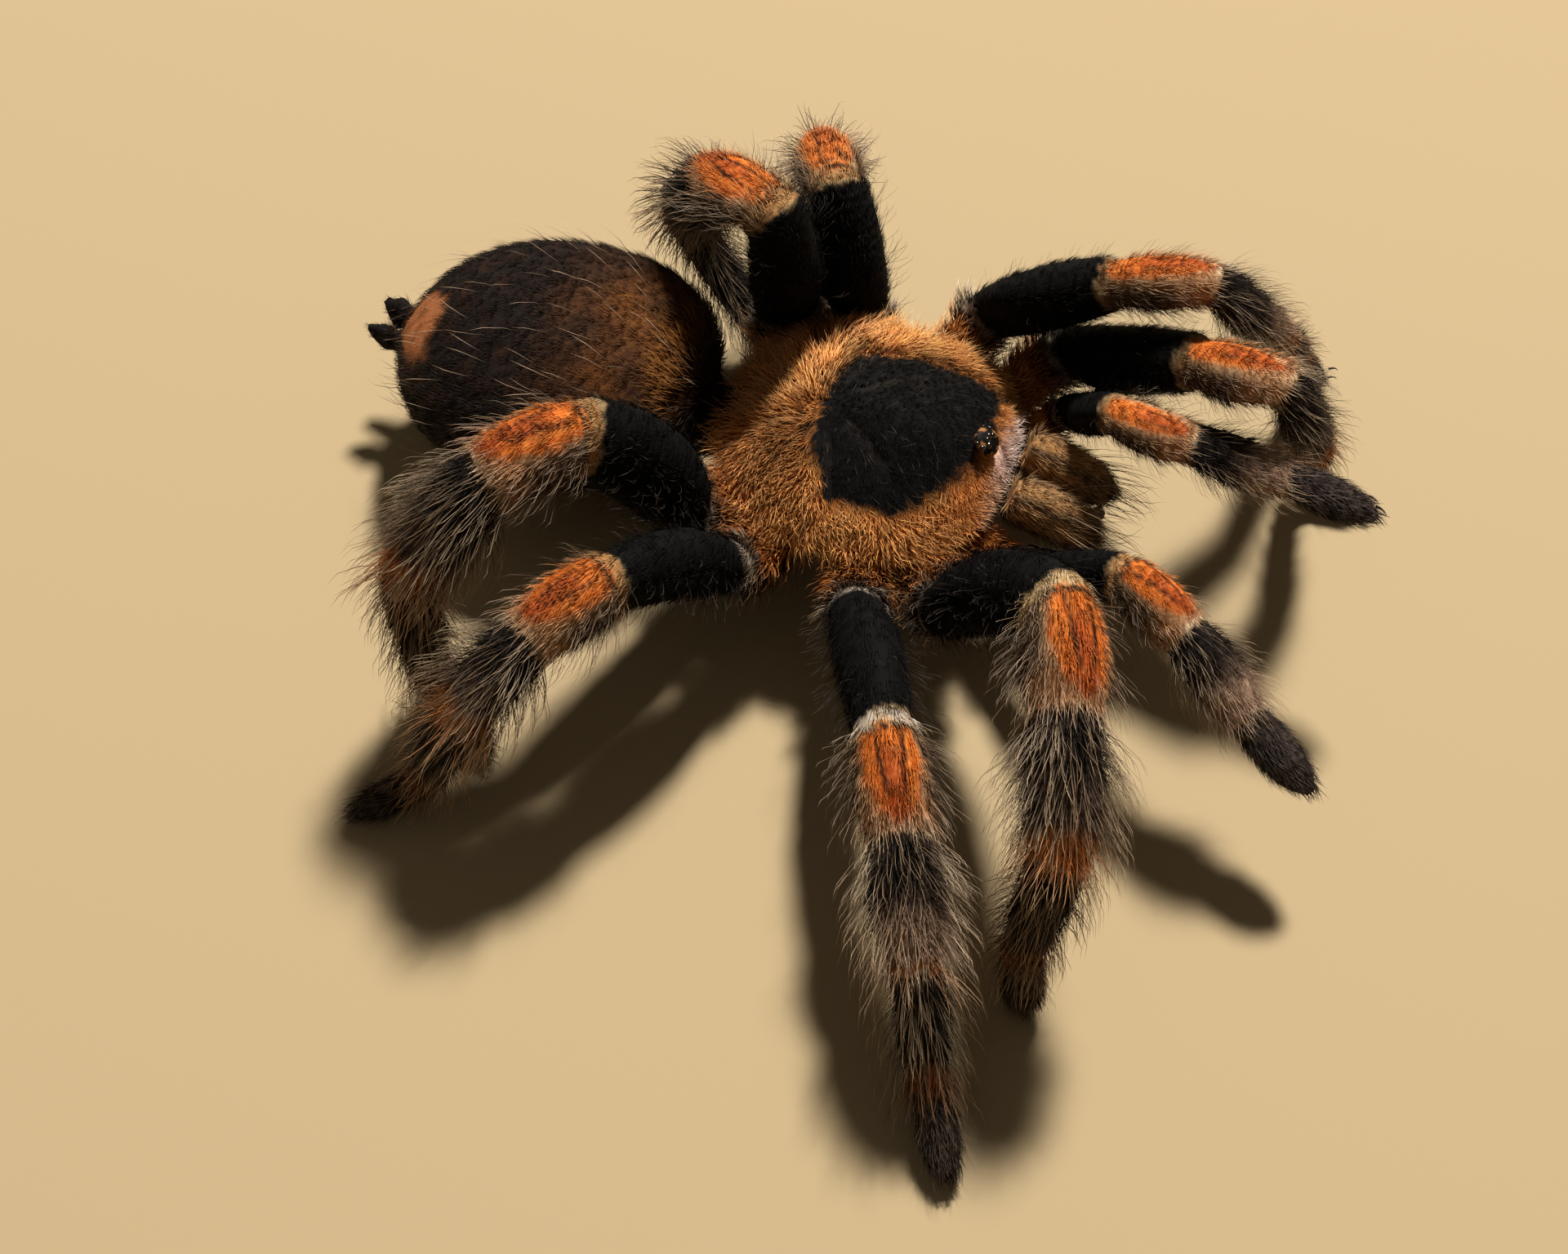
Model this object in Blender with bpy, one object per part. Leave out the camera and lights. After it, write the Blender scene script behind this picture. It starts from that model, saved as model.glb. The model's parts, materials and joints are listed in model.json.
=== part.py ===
"""Red knee tarantula, a still life-size model of an adult female standing with high knees.

Lengths are in millimetres and angles in degrees; MM turns lengths to metres when a mesh is made.
The spider faces -Y, its right side is -X, and its feet stand on the floor at the model's lowest level.
Each solid reaches out to the tips of the short dense coat.
"""
import math

import bmesh
import bpy
from mathutils import Vector

MM = 0.001
GAP = 0.3

# Carapace, the shield over the front body.
CARAPACE_LENGTH = 21.6
CARAPACE_WIDTH = 20.4
CARAPACE_RIM_Z = 9.7
CARAPACE_RIM_THICKNESS = 0.9
THORAX_RISE = 3.3
CAPUT_RISE = 1.9
CAPUT_CENTRE_Y = -5.2
CAPUT_SPREAD = (4.6, 6.4)
FOVEA_Y = 3.2
FOVEA_DEPTH = 0.7
FOVEA_SPREAD = (1.7, 0.9)
FRONT_NARROWING = 0.2
# The shield is an oval behind, and squarer in front, where the head ends in a straight edge.
OUTLINE_POWER = 2.35
FRONT_POWER = 3.1
# Rings of the upper face, as shares of the way from the centre to the rim.
CARAPACE_SHARES = (1.0, 0.93, 0.8, 0.64, 0.46, 0.28, 0.1)

# Eye tubercle, a low mound just behind the front edge.
TUBERCLE_Y = -8.9
TUBERCLE_HALF_SIZE = (1.5, 1.1)
TUBERCLE_RISE = 1.0
TUBERCLE_PROFILE = ((0.9, 0.0), (1.0, 0.35), (0.85, 0.7), (0.5, 0.95), (0.15, 1.0))

# Abdomen, an egg carried behind the pedicel.
ABDOMEN_FRONT = (0.2, 11.7, 10.3)
ABDOMEN_LENGTH = 26.2
ABDOMEN_HALF_WIDTH = 11.0
ABDOMEN_HALF_HEIGHT = 7.4
ABDOMEN_TURN = 0.5
ABDOMEN_DROOP = 7.0
ABDOMEN_FULLEST = 0.5
# The pedicel is the narrow waist that the abdomen hangs on: half width along its length.
PEDICEL_PROFILE = ((6.4, 0.8), (8.2, 1.3), (11.1, 1.3))
PEDICEL_Z = 6.7
PEDICEL_SLOPE = 0.12
# Spinnerets, two fingers side by side at the tail: length, radius, where each starts from the tail,
# and the share of the radius at parts of the way along.
SPINNERET_LENGTH = 2.7
SPINNERET_RADIUS = 0.75
SPINNERET_START = (1.0, 0.75, -0.65)
SPINNERET_LEAN = (0.35, 0.7, 0.55)
SPINNERET_SPLAY = 0.2
SPINNERET_PROFILE = ((0, 0.9), (0.2, 1.0), (0.36, 0.9), (0.55, 0.95), (0.7, 0.8), (0.88, 0.7), (1, 0.35))

# Chelicerae, the two jaw bases, and the fangs folded under them.
CHELICERA_BASE = (2.15, -10.9, 9.9)
CHELICERA_TIP = (2.0, -18.4, 6.9)
CHELICERA_HALF_WIDTH = 2.0
CHELICERA_HALF_HEIGHT = 2.6
# Share of the full section and height of the hump at parts of the way along a jaw base.
CHELICERA_PROFILE = ((0, 0.8, 0), (0.12, 0.92, 0.2), (0.3, 1, 0.35), (0.5, 1, 0.4),
                     (0.7, 0.95, 0.25), (0.85, 0.8, 0.1), (0.95, 0.55, 0), (1, 0.28, 0))
FANG_HEEL = (0.0, 1.1, -2.35)
FANG_SWING = (20.0, 75.0)
FANG_LENGTH = 4.6
FANG_RADIUS = 0.6
FANG_DROP = 0.45
FANG_TAPER = 0.62
FANG_RINGS = 6

# Breastplate and lip: half width and half length, the middle's place, and (height, share) levels.
STERNUM_HALF_SIZE = (4.3, 6.9)
STERNUM_Y = -0.9
STERNUM_LEVELS = ((4.3, 0.55), (4.7, 0.85), (5.8, 1.0), (7.2, 1.0), (8.2, 0.8))

# Limb segments: length of femur, patella, tibia, metatarsus and tarsus.
SEGMENT_LENGTHS = {
    "leg_1": (14.8, 7.8, 9.7, 8.7, 6.6),
    "leg_2": (13.4, 7.5, 9.1, 8.6, 6.5),
    "leg_3": (11.6, 7.0, 7.7, 9.5, 6.0),
    "leg_4": (13.8, 7.2, 9.9, 12.2, 7.2),
    "palp": (9.5, 6.3, 7.0, 7.1),
}
# Half thickness at each joint of a leg, from the coxa's root to the tarsus's tip, and how far each
# segment swells between its joints.
LEG_JOINT_RADII = (1.7, 2.5, 2.7, 2.7, 2.3, 1.85, 1.5)
LEG_SWELL = (0.2, 0.5, 0.55, 0.55, 0.2, 0.35)
PALP_JOINT_RADII = (1.2, 1.6, 1.95, 2.05, 1.8, 1.3)
PALP_SWELL = (0.15, 0.15, 0.35, 0.4, 0.45)
LIMB_SCALE = {"leg_1": 1.02, "leg_2": 0.96, "leg_3": 0.93, "leg_4": 0.98, "palp": 1.0}
# Limbs that lie side by side press each other's hair flat, so they are slimmer.
PRESSED_HAIR = {"left_leg_1": 0.88, "left_leg_2": 0.9, "left_leg_3": 0.92, "left_leg_4": 0.92, "left_palp": 0.92}
SEGMENT_TALLNESS = (1.12, 1.14, 1.08, 1.05, 1.0, 0.92)
FEMUR_BOW = 0.9
PALP_FEMUR_BOW = 0.3
KNEE_ROUNDING = 1.12
# The rounding of a foot's tip starts at one part of its length and would end at another; each sole
# is pressed in by a little, which leaves a small flat on the floor.
TIP_START = 0.6
TIP_SPAN = 0.46
SOLE_PRESS = 0.4
SIDES = 12
THIN_SIDES = 10

# Where each coxa leaves the breastplate, on the right side with x mirrored for the left.
COXA_ROOTS = {
    "palp": (3.3, -8.7, 6.3),
    "leg_1": (4.5, -5.7, 6.4),
    "leg_2": (5.2, -2.0, 6.3),
    "leg_3": (5.2, 1.9, 6.3),
    "leg_4": (4.3, 5.6, 6.4),
}

# The stance. For each limb: the hip, the heading of the leg's own upright plane (0 straight out
# sideways, negative forwards), the lean of that plane, the pitch of femur, patella, tibia and
# metatarsus above the level (past -90 it folds back in), and how far metatarsus and tarsus turn
# forwards out of the plane.
STANCE = {
    "right_leg_1": ((11.5, -9.2, 8.55), -27, 28, (58, -11, -27, -74), (10, 10)),
    "right_leg_2": ((13.5, -3.3, 8.2), -26, 2, (21, -14, -17, -47), (2, 2)),
    "right_leg_3": ((12.8, 6.2, 8.6), 35, -2, (35, -3, -31, -71), (-15, -15)),
    "right_leg_4": ((9.2, 10.4, 8.6), 45, -7, (61, 1, -41, -88), (0, 105)),
    "left_leg_1": ((13.2, -11.0, 7.5), -102, 15, (39, 24, -76, -103), (-5, -9)),
    "left_leg_2": ((13.6, -4.7, 8.8), -84, 13, (44, 19, -54, -79), (-17, -33)),
    "left_leg_3": ((11.9, 4.4, 7.8), 31, -4, (73, -29, -62, -139), (0, 180)),
    "left_leg_4": ((9.6, 9.7, 8.9), 63, -5, (94, -19, -62, -130), (0, 172)),
    "right_palp": ((7.1, -13.5, 7.1), -65, 18, (41, -6, -24, -18), (0, 2)),
    "left_palp": ((8.1, -12.9, 7.6), -98, 28, (60, -1, -2, -4), (2, 1)),
}

COLOURS = {
    "velvet": ("241d19", 0.8),
    "flame": ("c8652a", 0.75),
    "leg_brown": ("3c2d26", 0.8),
    "foot_black": ("1d1817", 0.8),
    "tan": ("a97843", 0.75),
    "gloss_black": ("0b0a0a", 0.25),
}


def linear(channel):
    """One sRGB channel from 0 to 1 as linear light."""
    return channel / 12.92 if channel <= 0.04045 else ((channel + 0.055) / 1.055) ** 2.4


def material(name):
    found = bpy.data.materials.get(name)
    if found:
        return found
    code, roughness = COLOURS[name]
    made = bpy.data.materials.new(name)
    made.use_nodes = True
    shader = made.node_tree.nodes["Principled BSDF"]
    rgb = [linear(int(code[i:i + 2], 16) / 255) for i in (0, 2, 4)]
    shader.inputs["Base Color"].default_value = (*rgb, 1)
    shader.inputs["Roughness"].default_value = roughness
    made.diffuse_color = (*rgb, 1)
    return made


def skin_of_rings(name, rings, finish, collection, root):
    """A closed body lofted through rings of equal count, each end capped with one face."""
    mesh = bmesh.new()
    rows = [[mesh.verts.new(Vector(point) * MM) for point in ring] for ring in rings]
    count = len(rings[0])
    for near, far in zip(rows, rows[1:]):
        for i in range(count):
            j = (i + 1) % count
            mesh.faces.new((near[i], near[j], far[j], far[i]))
    mesh.faces.new(rows[0][::-1])
    mesh.faces.new(rows[-1])
    bmesh.ops.recalc_face_normals(mesh, faces=mesh.faces)
    data = bpy.data.meshes.new(name)
    mesh.to_mesh(data)
    mesh.free()
    data.shade_smooth()
    data.set_sharp_from_angle(angle=math.radians(50))
    data.materials.append(material(finish))
    made = bpy.data.objects.new(name, data)
    made.parent = root
    collection.objects.link(made)
    return made


def smooth_step(value):
    value = min(max(value, 0.0), 1.0)
    return value * value * (3 - 2 * value)


def carapace_outline(turn):
    """A point of the shield's rim; turn runs from 0 at the front to 1 once round, by the right."""
    angle = 2 * math.pi * turn
    across, along = math.sin(angle), math.cos(angle)
    power = 2 / (FRONT_POWER if along > 0 else OUTLINE_POWER)
    x = -math.copysign(abs(across) ** power, across) * CARAPACE_WIDTH / 2
    y = -math.copysign(abs(along) ** power, along) * CARAPACE_LENGTH / 2
    return x * (1 - FRONT_NARROWING * max(along, 0) ** 1.5), y


def carapace_rise(x, y, share):
    """Height of the shield over its rim, where share is the part of the way from centre to rim."""
    thorax = THORAX_RISE * max(1 - share ** 2.2, 0) ** 0.75
    caput = CAPUT_RISE * math.exp(-(x / CAPUT_SPREAD[0]) ** 2 - ((y - CAPUT_CENTRE_Y) / CAPUT_SPREAD[1]) ** 2)
    pit = FOVEA_DEPTH * math.exp(-(x / FOVEA_SPREAD[0]) ** 2 - ((y - FOVEA_Y) / FOVEA_SPREAD[1]) ** 2)
    return thorax + caput - pit


def carapace_top(x, y):
    """Height of the shield's upper face at a place inside its rim."""
    turn = math.atan2(-x / CARAPACE_WIDTH, -y / CARAPACE_LENGTH) / (2 * math.pi)
    rim = Vector(carapace_outline(turn % 1.0))
    share = min(Vector((x, y)).length / rim.length, 1.0)
    return CARAPACE_RIM_Z + carapace_rise(x, y, share)


def build_carapace(collection, root):
    sides = 28
    rings = []
    underside = CARAPACE_RIM_Z - CARAPACE_RIM_THICKNESS
    for level, share in ((underside + 0.3, 0.5), (underside, 0.95)):
        rims = [carapace_outline(i / sides) for i in range(sides)]
        rings.append([(x * share, y * share, level) for x, y in rims])
    for share in CARAPACE_SHARES:
        ring = []
        for i in range(sides):
            x, y = (value * share for value in carapace_outline(i / sides))
            ring.append((x, y, CARAPACE_RIM_Z + carapace_rise(x, y, share)))
        rings.append(ring)
    skin_of_rings("carapace", rings, "tan", collection, root)


def build_eye_tubercle(collection, root):
    sides = 12
    rings = []
    for share, rise in TUBERCLE_PROFILE:
        ring = []
        for i in range(sides):
            angle = 2 * math.pi * i / sides
            x = TUBERCLE_HALF_SIZE[0] * share * math.sin(angle)
            y = TUBERCLE_Y - TUBERCLE_HALF_SIZE[1] * share * math.cos(angle)
            ring.append((x, y, carapace_top(x, y) + GAP + rise * TUBERCLE_RISE))
        rings.append(ring)
    skin_of_rings("eye_tubercle", rings, "gloss_black", collection, root)


def build_sternum(collection, root):
    """The breastplate and lip, a flat oval core between the coxae and under the shield."""
    sides = 20
    rings = []
    for z, share in STERNUM_LEVELS:
        ring = []
        for i in range(sides):
            angle = 2 * math.pi * i / sides
            x = -STERNUM_HALF_SIZE[0] * share * math.sin(angle)
            ring.append((x, STERNUM_Y - STERNUM_HALF_SIZE[1] * share * math.cos(angle), z))
        rings.append(ring)
    skin_of_rings("sternum", rings, "velvet", collection, root)


def oval_ring(centre, along, half_width, half_height, sides, upward=Vector((0, 0, 1))):
    side = along.cross(upward).normalized()
    lift = side.cross(along).normalized()
    ring = []
    for i in range(sides):
        angle = 2 * math.pi * i / sides
        ring.append(centre + side * half_width * math.cos(angle) + lift * half_height * math.sin(angle))
    return ring


def abdomen_girth(way):
    """Share of the full girth at a part of the way from the pedicel to the tail."""
    if way < ABDOMEN_FULLEST:
        way = (ABDOMEN_FULLEST - way) / ABDOMEN_FULLEST
        return max(1 - way ** 2.5, 0) ** 0.5
    way = (way - ABDOMEN_FULLEST) / (1 - ABDOMEN_FULLEST)
    return max(1 - way ** 2.2, 0) ** 0.54


def abdomen_line():
    """Start and direction of the abdomen's own axis."""
    turn, droop = math.radians(ABDOMEN_TURN), math.radians(ABDOMEN_DROOP)
    along = Vector((math.sin(turn) * math.cos(droop), math.cos(turn) * math.cos(droop), -math.sin(droop)))
    return Vector(ABDOMEN_FRONT), along


def build_abdomen(collection, root):
    start, along = abdomen_line()
    rings = []
    for y, radius in PEDICEL_PROFILE:
        centre = Vector((0, y, PEDICEL_Z + PEDICEL_SLOPE * (y - PEDICEL_PROFILE[0][0])))
        rings.append(oval_ring(centre, Vector((0, 1, PEDICEL_SLOPE)).normalized(), radius, radius * 0.8, 20))
    count = 14
    for i in range(count):
        way = 0.5 - 0.5 * math.cos(math.pi * (0.035 + 0.93 * i / (count - 1)))
        girth = abdomen_girth(way)
        centre = start + along * ABDOMEN_LENGTH * way
        rings.append(oval_ring(centre, along, ABDOMEN_HALF_WIDTH * girth, ABDOMEN_HALF_HEIGHT * girth, 20))
    skin_of_rings("abdomen", rings, "velvet", collection, root)
    tail = start + along * (ABDOMEN_LENGTH * 0.985)
    for name, sign in (("spinneret_left", 1), ("spinneret_right", -1)):
        out = (Vector(SPINNERET_LEAN) + Vector((SPINNERET_SPLAY * sign, 0, 0))).normalized()
        base = tail + Vector((SPINNERET_START[0] * sign, *SPINNERET_START[1:]))
        rings = []
        for way, share in SPINNERET_PROFILE:
            centre = base + out * SPINNERET_LENGTH * way
            radius = SPINNERET_RADIUS * share
            rings.append(oval_ring(centre, out, radius, radius, 8))
        skin_of_rings(name, rings, "velvet", collection, root)


def build_chelicerae(collection, root):
    for name, sign in (("left", 1), ("right", -1)):
        base = Vector((CHELICERA_BASE[0] * sign, *CHELICERA_BASE[1:]))
        tip = Vector((CHELICERA_TIP[0] * sign, *CHELICERA_TIP[1:]))
        along = (tip - base).normalized()
        rings = []
        for way, share, hump in CHELICERA_PROFILE:
            centre = base.lerp(tip, way) + Vector((0, 0, hump))
            rings.append(oval_ring(centre, along, CHELICERA_HALF_WIDTH * share, CHELICERA_HALF_HEIGHT * share, 12))
        skin_of_rings(f"chelicera_{name}", rings, "leg_brown", collection, root)
        rings = []
        heel = tip + Vector(FANG_HEEL)
        for i in range(FANG_RINGS):
            way = i / (FANG_RINGS - 1)
            swing = math.radians(FANG_SWING[0] + (FANG_SWING[1] - FANG_SWING[0]) * way)
            along = Vector((0, math.sin(swing), -math.cos(swing) * FANG_DROP))
            radius = FANG_RADIUS * (1 - FANG_TAPER * way)
            rings.append(oval_ring(heel + along * FANG_LENGTH * way, along, radius, radius, 8, Vector((1, 0, 0))))
        skin_of_rings(f"fang_{name}", rings, "gloss_black", collection, root)


def limb_scale(limb):
    return LIMB_SCALE[limb.split("_", 1)[1]] * PRESSED_HAIR.get(limb, 1.0)


def tip_height(knee_z, length, radius):
    """Height of the foot's last joint that brings its rounded tip down onto the floor."""
    height = radius
    for _ in range(8):
        drop = min((knee_z - height) / length, 0.999)
        reach = math.hypot(TIP_SPAN * length * drop, radius * math.sqrt(1 - drop * drop))
        height = reach - (1 - TIP_START) * length * drop - SOLE_PRESS
    return height


def limb_joints(limb):
    """Joints of a limb from the coxa's root to the tip, and the level across its own plane."""
    side, kind = limb.split("_", 1)
    sign = 1 if side == "left" else -1
    hip, heading, lean, pitches, turns = STANCE[limb]
    heading, lean = math.radians(heading), math.radians(lean)
    foot_turn, tip_turn = (math.radians(value) for value in turns)
    out = Vector((sign * math.cos(heading), math.sin(heading), 0))
    plumb = Vector((0, 0, 1))
    level = out.cross(plumb) * sign
    rise = plumb * math.cos(lean) + level * math.sin(lean)
    across = out.cross(rise) * sign
    root = COXA_ROOTS[kind]
    joints = [Vector((sign * root[0], root[1], root[2])), Vector((sign * hip[0], hip[1], hip[2]))]
    lengths = SEGMENT_LENGTHS[kind]
    for i, pitch in enumerate(pitches):
        pitch = math.radians(pitch)
        step = out * math.cos(pitch) + rise * math.sin(pitch)
        if i == 3:
            step = step * math.cos(foot_turn) + across * math.sin(foot_turn)
        joints.append(joints[-1] + step * lengths[i])
    if kind != "palp":
        start, end = LEG_JOINT_RADII[5:]
        girth = (start + (end - start) * TIP_START + LEG_SWELL[5]) * limb_scale(limb) * SEGMENT_TALLNESS[5]
        drop = min((joints[-1].z - tip_height(joints[-1].z, lengths[4], girth)) / lengths[4], 0.999)
        ahead = out * math.cos(tip_turn) + Vector((across.x, across.y, 0)) * math.sin(tip_turn)
        ahead.normalize()
        joints.append(joints[-1] + (ahead * math.sqrt(1 - drop * drop) - plumb * drop) * lengths[4])
    return joints, across


def carried_frames(axes, across):
    """Side and upper directions of each segment, carried along the limb so that no ring twists."""
    side = (across - axes[0] * across.dot(axes[0])).normalized()
    handed = 1 if side.cross(axes[0]).z > 0 else -1
    frames = [(side, side.cross(axes[0]) * handed)]
    for before, axis in zip(axes, axes[1:]):
        side = before.rotation_difference(axis) @ side
        frames.append((side, side.cross(axis) * handed))
    return frames


def limb_rings(joints, first, last, across, radii, swell, tallness, sides, bow=0.0, round_tip=False):
    """Rings of one solid from joint first to joint last, cut on the planes that halve each bend."""
    axes = [(b - a).normalized() for a, b in zip(joints, joints[1:])]
    normals = [axes[0]] + [(a + b).normalized() for a, b in zip(axes, axes[1:])] + [axes[-1]]
    frames = carried_frames(axes, across)
    rings = []
    for k in range(first, last):
        axis, start = axes[k], joints[k]
        length = (joints[k + 1] - start).length
        side, lift = frames[k]
        tip = round_tip and k == last - 1
        ways = [0, 0.2, 0.4, 0.6, 0.8, 1] if first + 1 == last else [0, 0.3, 0.65, 1]
        if tip:
            ways = [0, 0.3, TIP_START, 0.82, 0.94, 1]
        if k > first:
            ways = ways[1:]
        for way in ways:
            radius = radii[k] + (radii[k + 1] - radii[k]) * way + swell[k] * math.sin(math.pi * way)
            if tip and way > TIP_START:
                radius *= (1 - ((way - TIP_START) / TIP_SPAN) ** 2) ** 0.5
            centre = start + axis * length * way + lift * bow * math.sin(math.pi * way)
            bends = []
            if k > 0:
                bends.append((normals[k], axes[k - 1], 1 - smooth_step(way / 0.7)))
            if k + 1 < len(axes):
                bends.append((normals[k + 1], axes[k + 1], smooth_step((way - 0.3) / 0.7)))
            ring = []
            for i in range(sides):
                angle = 2 * math.pi * i / sides
                off = side * radius * math.cos(angle) + lift * radius * tallness[k] * math.sin(angle)
                slide = 0.0
                for normal, other, near in bends:
                    bend = other - axis * other.dot(axis)
                    if bend.length < 1e-4 or near <= 0:
                        continue
                    bend.normalize()
                    half = axis.dot(normal)
                    squeeze = min(KNEE_ROUNDING * half, 1.0)
                    off = off + bend * off.dot(bend) * (squeeze - 1) * near
                    slide -= normal.dot(off) / half * near
                ring.append(centre + off + axis * slide)
            rings.append(ring)
        if k == first:
            shift = GAP / 2 / axis.dot(normals[k])
            rings[0] = [point + axis * shift for point in rings[0]]
        if k == last - 1 and not round_tip:
            shift = GAP / 2 / axis.dot(normals[k + 1])
            rings[-1] = [point - axis * shift for point in rings[-1]]
    return [[Vector((p.x, p.y, max(p.z, 0.0))) for p in ring] for ring in rings]


def under_shield(point):
    """Coxae are pressed flat where they pass under the shield, and swell freely beyond its rim."""
    turn = math.atan2(-point.x / CARAPACE_WIDTH, -point.y / CARAPACE_LENGTH) / (2 * math.pi)
    beyond = Vector((point.x, point.y)).length - Vector(carapace_outline(turn % 1.0)).length
    ceiling = CARAPACE_RIM_Z - CARAPACE_RIM_THICKNESS - GAP + max(beyond - GAP, 0)
    return Vector((point.x, point.y, min(point.z, ceiling)))


def build_limb(limb, collection, root):
    kind = limb.split("_", 1)[1]
    scale = limb_scale(limb)
    joints, across = limb_joints(limb)
    palp = kind == "palp"
    radii = [value * scale for value in (PALP_JOINT_RADII if palp else LEG_JOINT_RADII)]
    swell = [value * scale for value in (PALP_SWELL if palp else LEG_SWELL)]
    pieces = [
        ("hip", 0, 1, "leg_brown", THIN_SIDES, 0.0),
        ("femur", 1, 2, "velvet", SIDES, PALP_FEMUR_BOW if palp else FEMUR_BOW),
        ("patella", 2, 3, "flame", SIDES, 0.35),
        ("tibia", 3, 4, "leg_brown", SIDES, 0.15),
        ("foot", 4, len(joints) - 1, "foot_black", THIN_SIDES, 0.0),
    ]
    for piece, first, last, finish, sides, bow in pieces:
        rings = limb_rings(joints, first, last, across, radii, swell, SEGMENT_TALLNESS, sides, bow,
                           round_tip=piece == "foot")
        if piece == "hip":
            rings = [[under_shield(point) for point in ring] for ring in rings]
        skin_of_rings(f"{limb}_{piece}", rings, finish, collection, root)


def stand_on_origin(collection, root):
    """Shift the whole spider so that the middle of its footprint box is the model's origin."""
    bpy.context.view_layer.update()
    points = [part.matrix_world @ vertex.co for part in collection.objects if part.type == "MESH"
              for vertex in part.data.vertices]
    low = Vector([min(point[i] for point in points) for i in range(3)])
    high = Vector([max(point[i] for point in points) for i in range(3)])
    root.location = (-(low.x + high.x) / 2, -(low.y + high.y) / 2, -low.z)


def main():
    for thing in list(bpy.data.objects):
        bpy.data.objects.remove(thing, do_unlink=True)
    collection = bpy.data.collections.new("red_knee_tarantula")
    bpy.context.scene.collection.children.link(collection)
    root = bpy.data.objects.new("spider_root", None)
    collection.objects.link(root)
    build_carapace(collection, root)
    build_eye_tubercle(collection, root)
    build_sternum(collection, root)
    build_abdomen(collection, root)
    build_chelicerae(collection, root)
    for limb in STANCE:
        build_limb(limb, collection, root)
    stand_on_origin(collection, root)


main()
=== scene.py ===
# %% [markdown]
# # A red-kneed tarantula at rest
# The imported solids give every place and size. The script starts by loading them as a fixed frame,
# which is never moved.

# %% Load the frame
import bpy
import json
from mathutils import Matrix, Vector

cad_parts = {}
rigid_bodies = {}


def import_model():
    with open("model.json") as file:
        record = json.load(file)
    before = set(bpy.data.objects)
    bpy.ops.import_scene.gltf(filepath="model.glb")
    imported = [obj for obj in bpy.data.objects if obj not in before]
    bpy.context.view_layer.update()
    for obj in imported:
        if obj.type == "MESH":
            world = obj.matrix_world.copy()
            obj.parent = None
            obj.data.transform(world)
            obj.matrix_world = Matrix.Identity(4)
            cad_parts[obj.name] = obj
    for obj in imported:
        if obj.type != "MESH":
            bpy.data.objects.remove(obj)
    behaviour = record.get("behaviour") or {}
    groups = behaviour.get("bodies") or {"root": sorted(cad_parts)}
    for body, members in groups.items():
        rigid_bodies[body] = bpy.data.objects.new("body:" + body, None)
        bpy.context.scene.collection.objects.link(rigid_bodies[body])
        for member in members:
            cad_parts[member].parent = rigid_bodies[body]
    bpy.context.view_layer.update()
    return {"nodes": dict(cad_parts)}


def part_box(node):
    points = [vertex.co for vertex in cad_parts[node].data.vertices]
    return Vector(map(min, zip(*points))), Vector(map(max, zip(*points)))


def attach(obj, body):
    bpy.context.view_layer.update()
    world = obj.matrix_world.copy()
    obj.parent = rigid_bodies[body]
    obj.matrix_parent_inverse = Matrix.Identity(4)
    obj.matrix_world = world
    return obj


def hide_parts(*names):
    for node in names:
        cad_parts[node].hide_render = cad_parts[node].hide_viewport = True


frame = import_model()

import json
import math

import bmesh
import bpy
import numpy as np
from mathutils import Matrix, Vector
from mathutils.bvhtree import BVHTree

MM = 0.001

# %% [markdown]
# ## The spider's own millimetres
# A spider is easiest to describe from the middle of its shield: x to its left, y to its tail and
# z up from the floor, in millimetres. The shield's own box says where that middle lies in the
# frame, so every shape is made in these units and put into the frame in one step at the end.

# %% From the frame to the spider and back
shield_low, shield_high = (Vector(corner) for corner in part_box("carapace"))
PLACE = (shield_low + shield_high) / (2 * MM)
PLACE.z = 0
INTO_FRAME = Matrix.Scale(MM, 4) @ Matrix.Translation(PLACE)
OUT_OF_FRAME = INTO_FRAME.inverted()
print("shield centre in the frame, mm:", [round(value, 3) for value in PLACE])


def node_shape(name, grow=0.0):
    """A merged copy of one CAD node in the spider's millimetres, swollen by grow."""
    shape = bmesh.new()
    shape.from_mesh(frame["nodes"][name].data)
    bmesh.ops.transform(shape, matrix=OUT_OF_FRAME, verts=shape.verts)
    bmesh.ops.remove_doubles(shape, verts=shape.verts, dist=0.002)
    shape.normal_update()
    for vert in shape.verts:
        vert.co += vert.normal * grow
    return shape


def new_object(name, data):
    made = bpy.data.objects.new(name, data)
    bpy.context.scene.collection.objects.link(made)
    return made


def as_mesh(name, shapes):
    """One mesh out of several bmesh shapes, which are freed."""
    whole = bpy.data.meshes.new(name)
    together = bmesh.new()
    for shape in shapes:
        part = bpy.data.meshes.new("part")
        shape.to_mesh(part)
        shape.free()
        together.from_mesh(part)
        bpy.data.meshes.remove(part)
    together.to_mesh(whole)
    together.free()
    return whole


def vectors_of(items, field):
    flat = np.empty(len(items) * 3, np.float32)
    items.foreach_get(field, flat)
    return flat.reshape(-1, 3).astype(float)


def points_of(mesh):
    return vectors_of(mesh.vertices, "co")


def normals_of(mesh):
    return vectors_of(mesh.vertex_normals, "vector")


def move_points(mesh, points):
    mesh.vertices.foreach_set("co", points.astype(np.float32).ravel())
    mesh.update()


# %% [markdown]
# ## How the limbs stand
# Each limb is a chain of joints in one leaning plane: the hip, the plane's heading and lean, and
# the pitch of femur, patella, tibia and metatarsus. The chain is needed again here, because the
# markings and the lie of the hair follow each segment from one joint to the next, and go round it
# from its back to its belly side.

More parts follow.
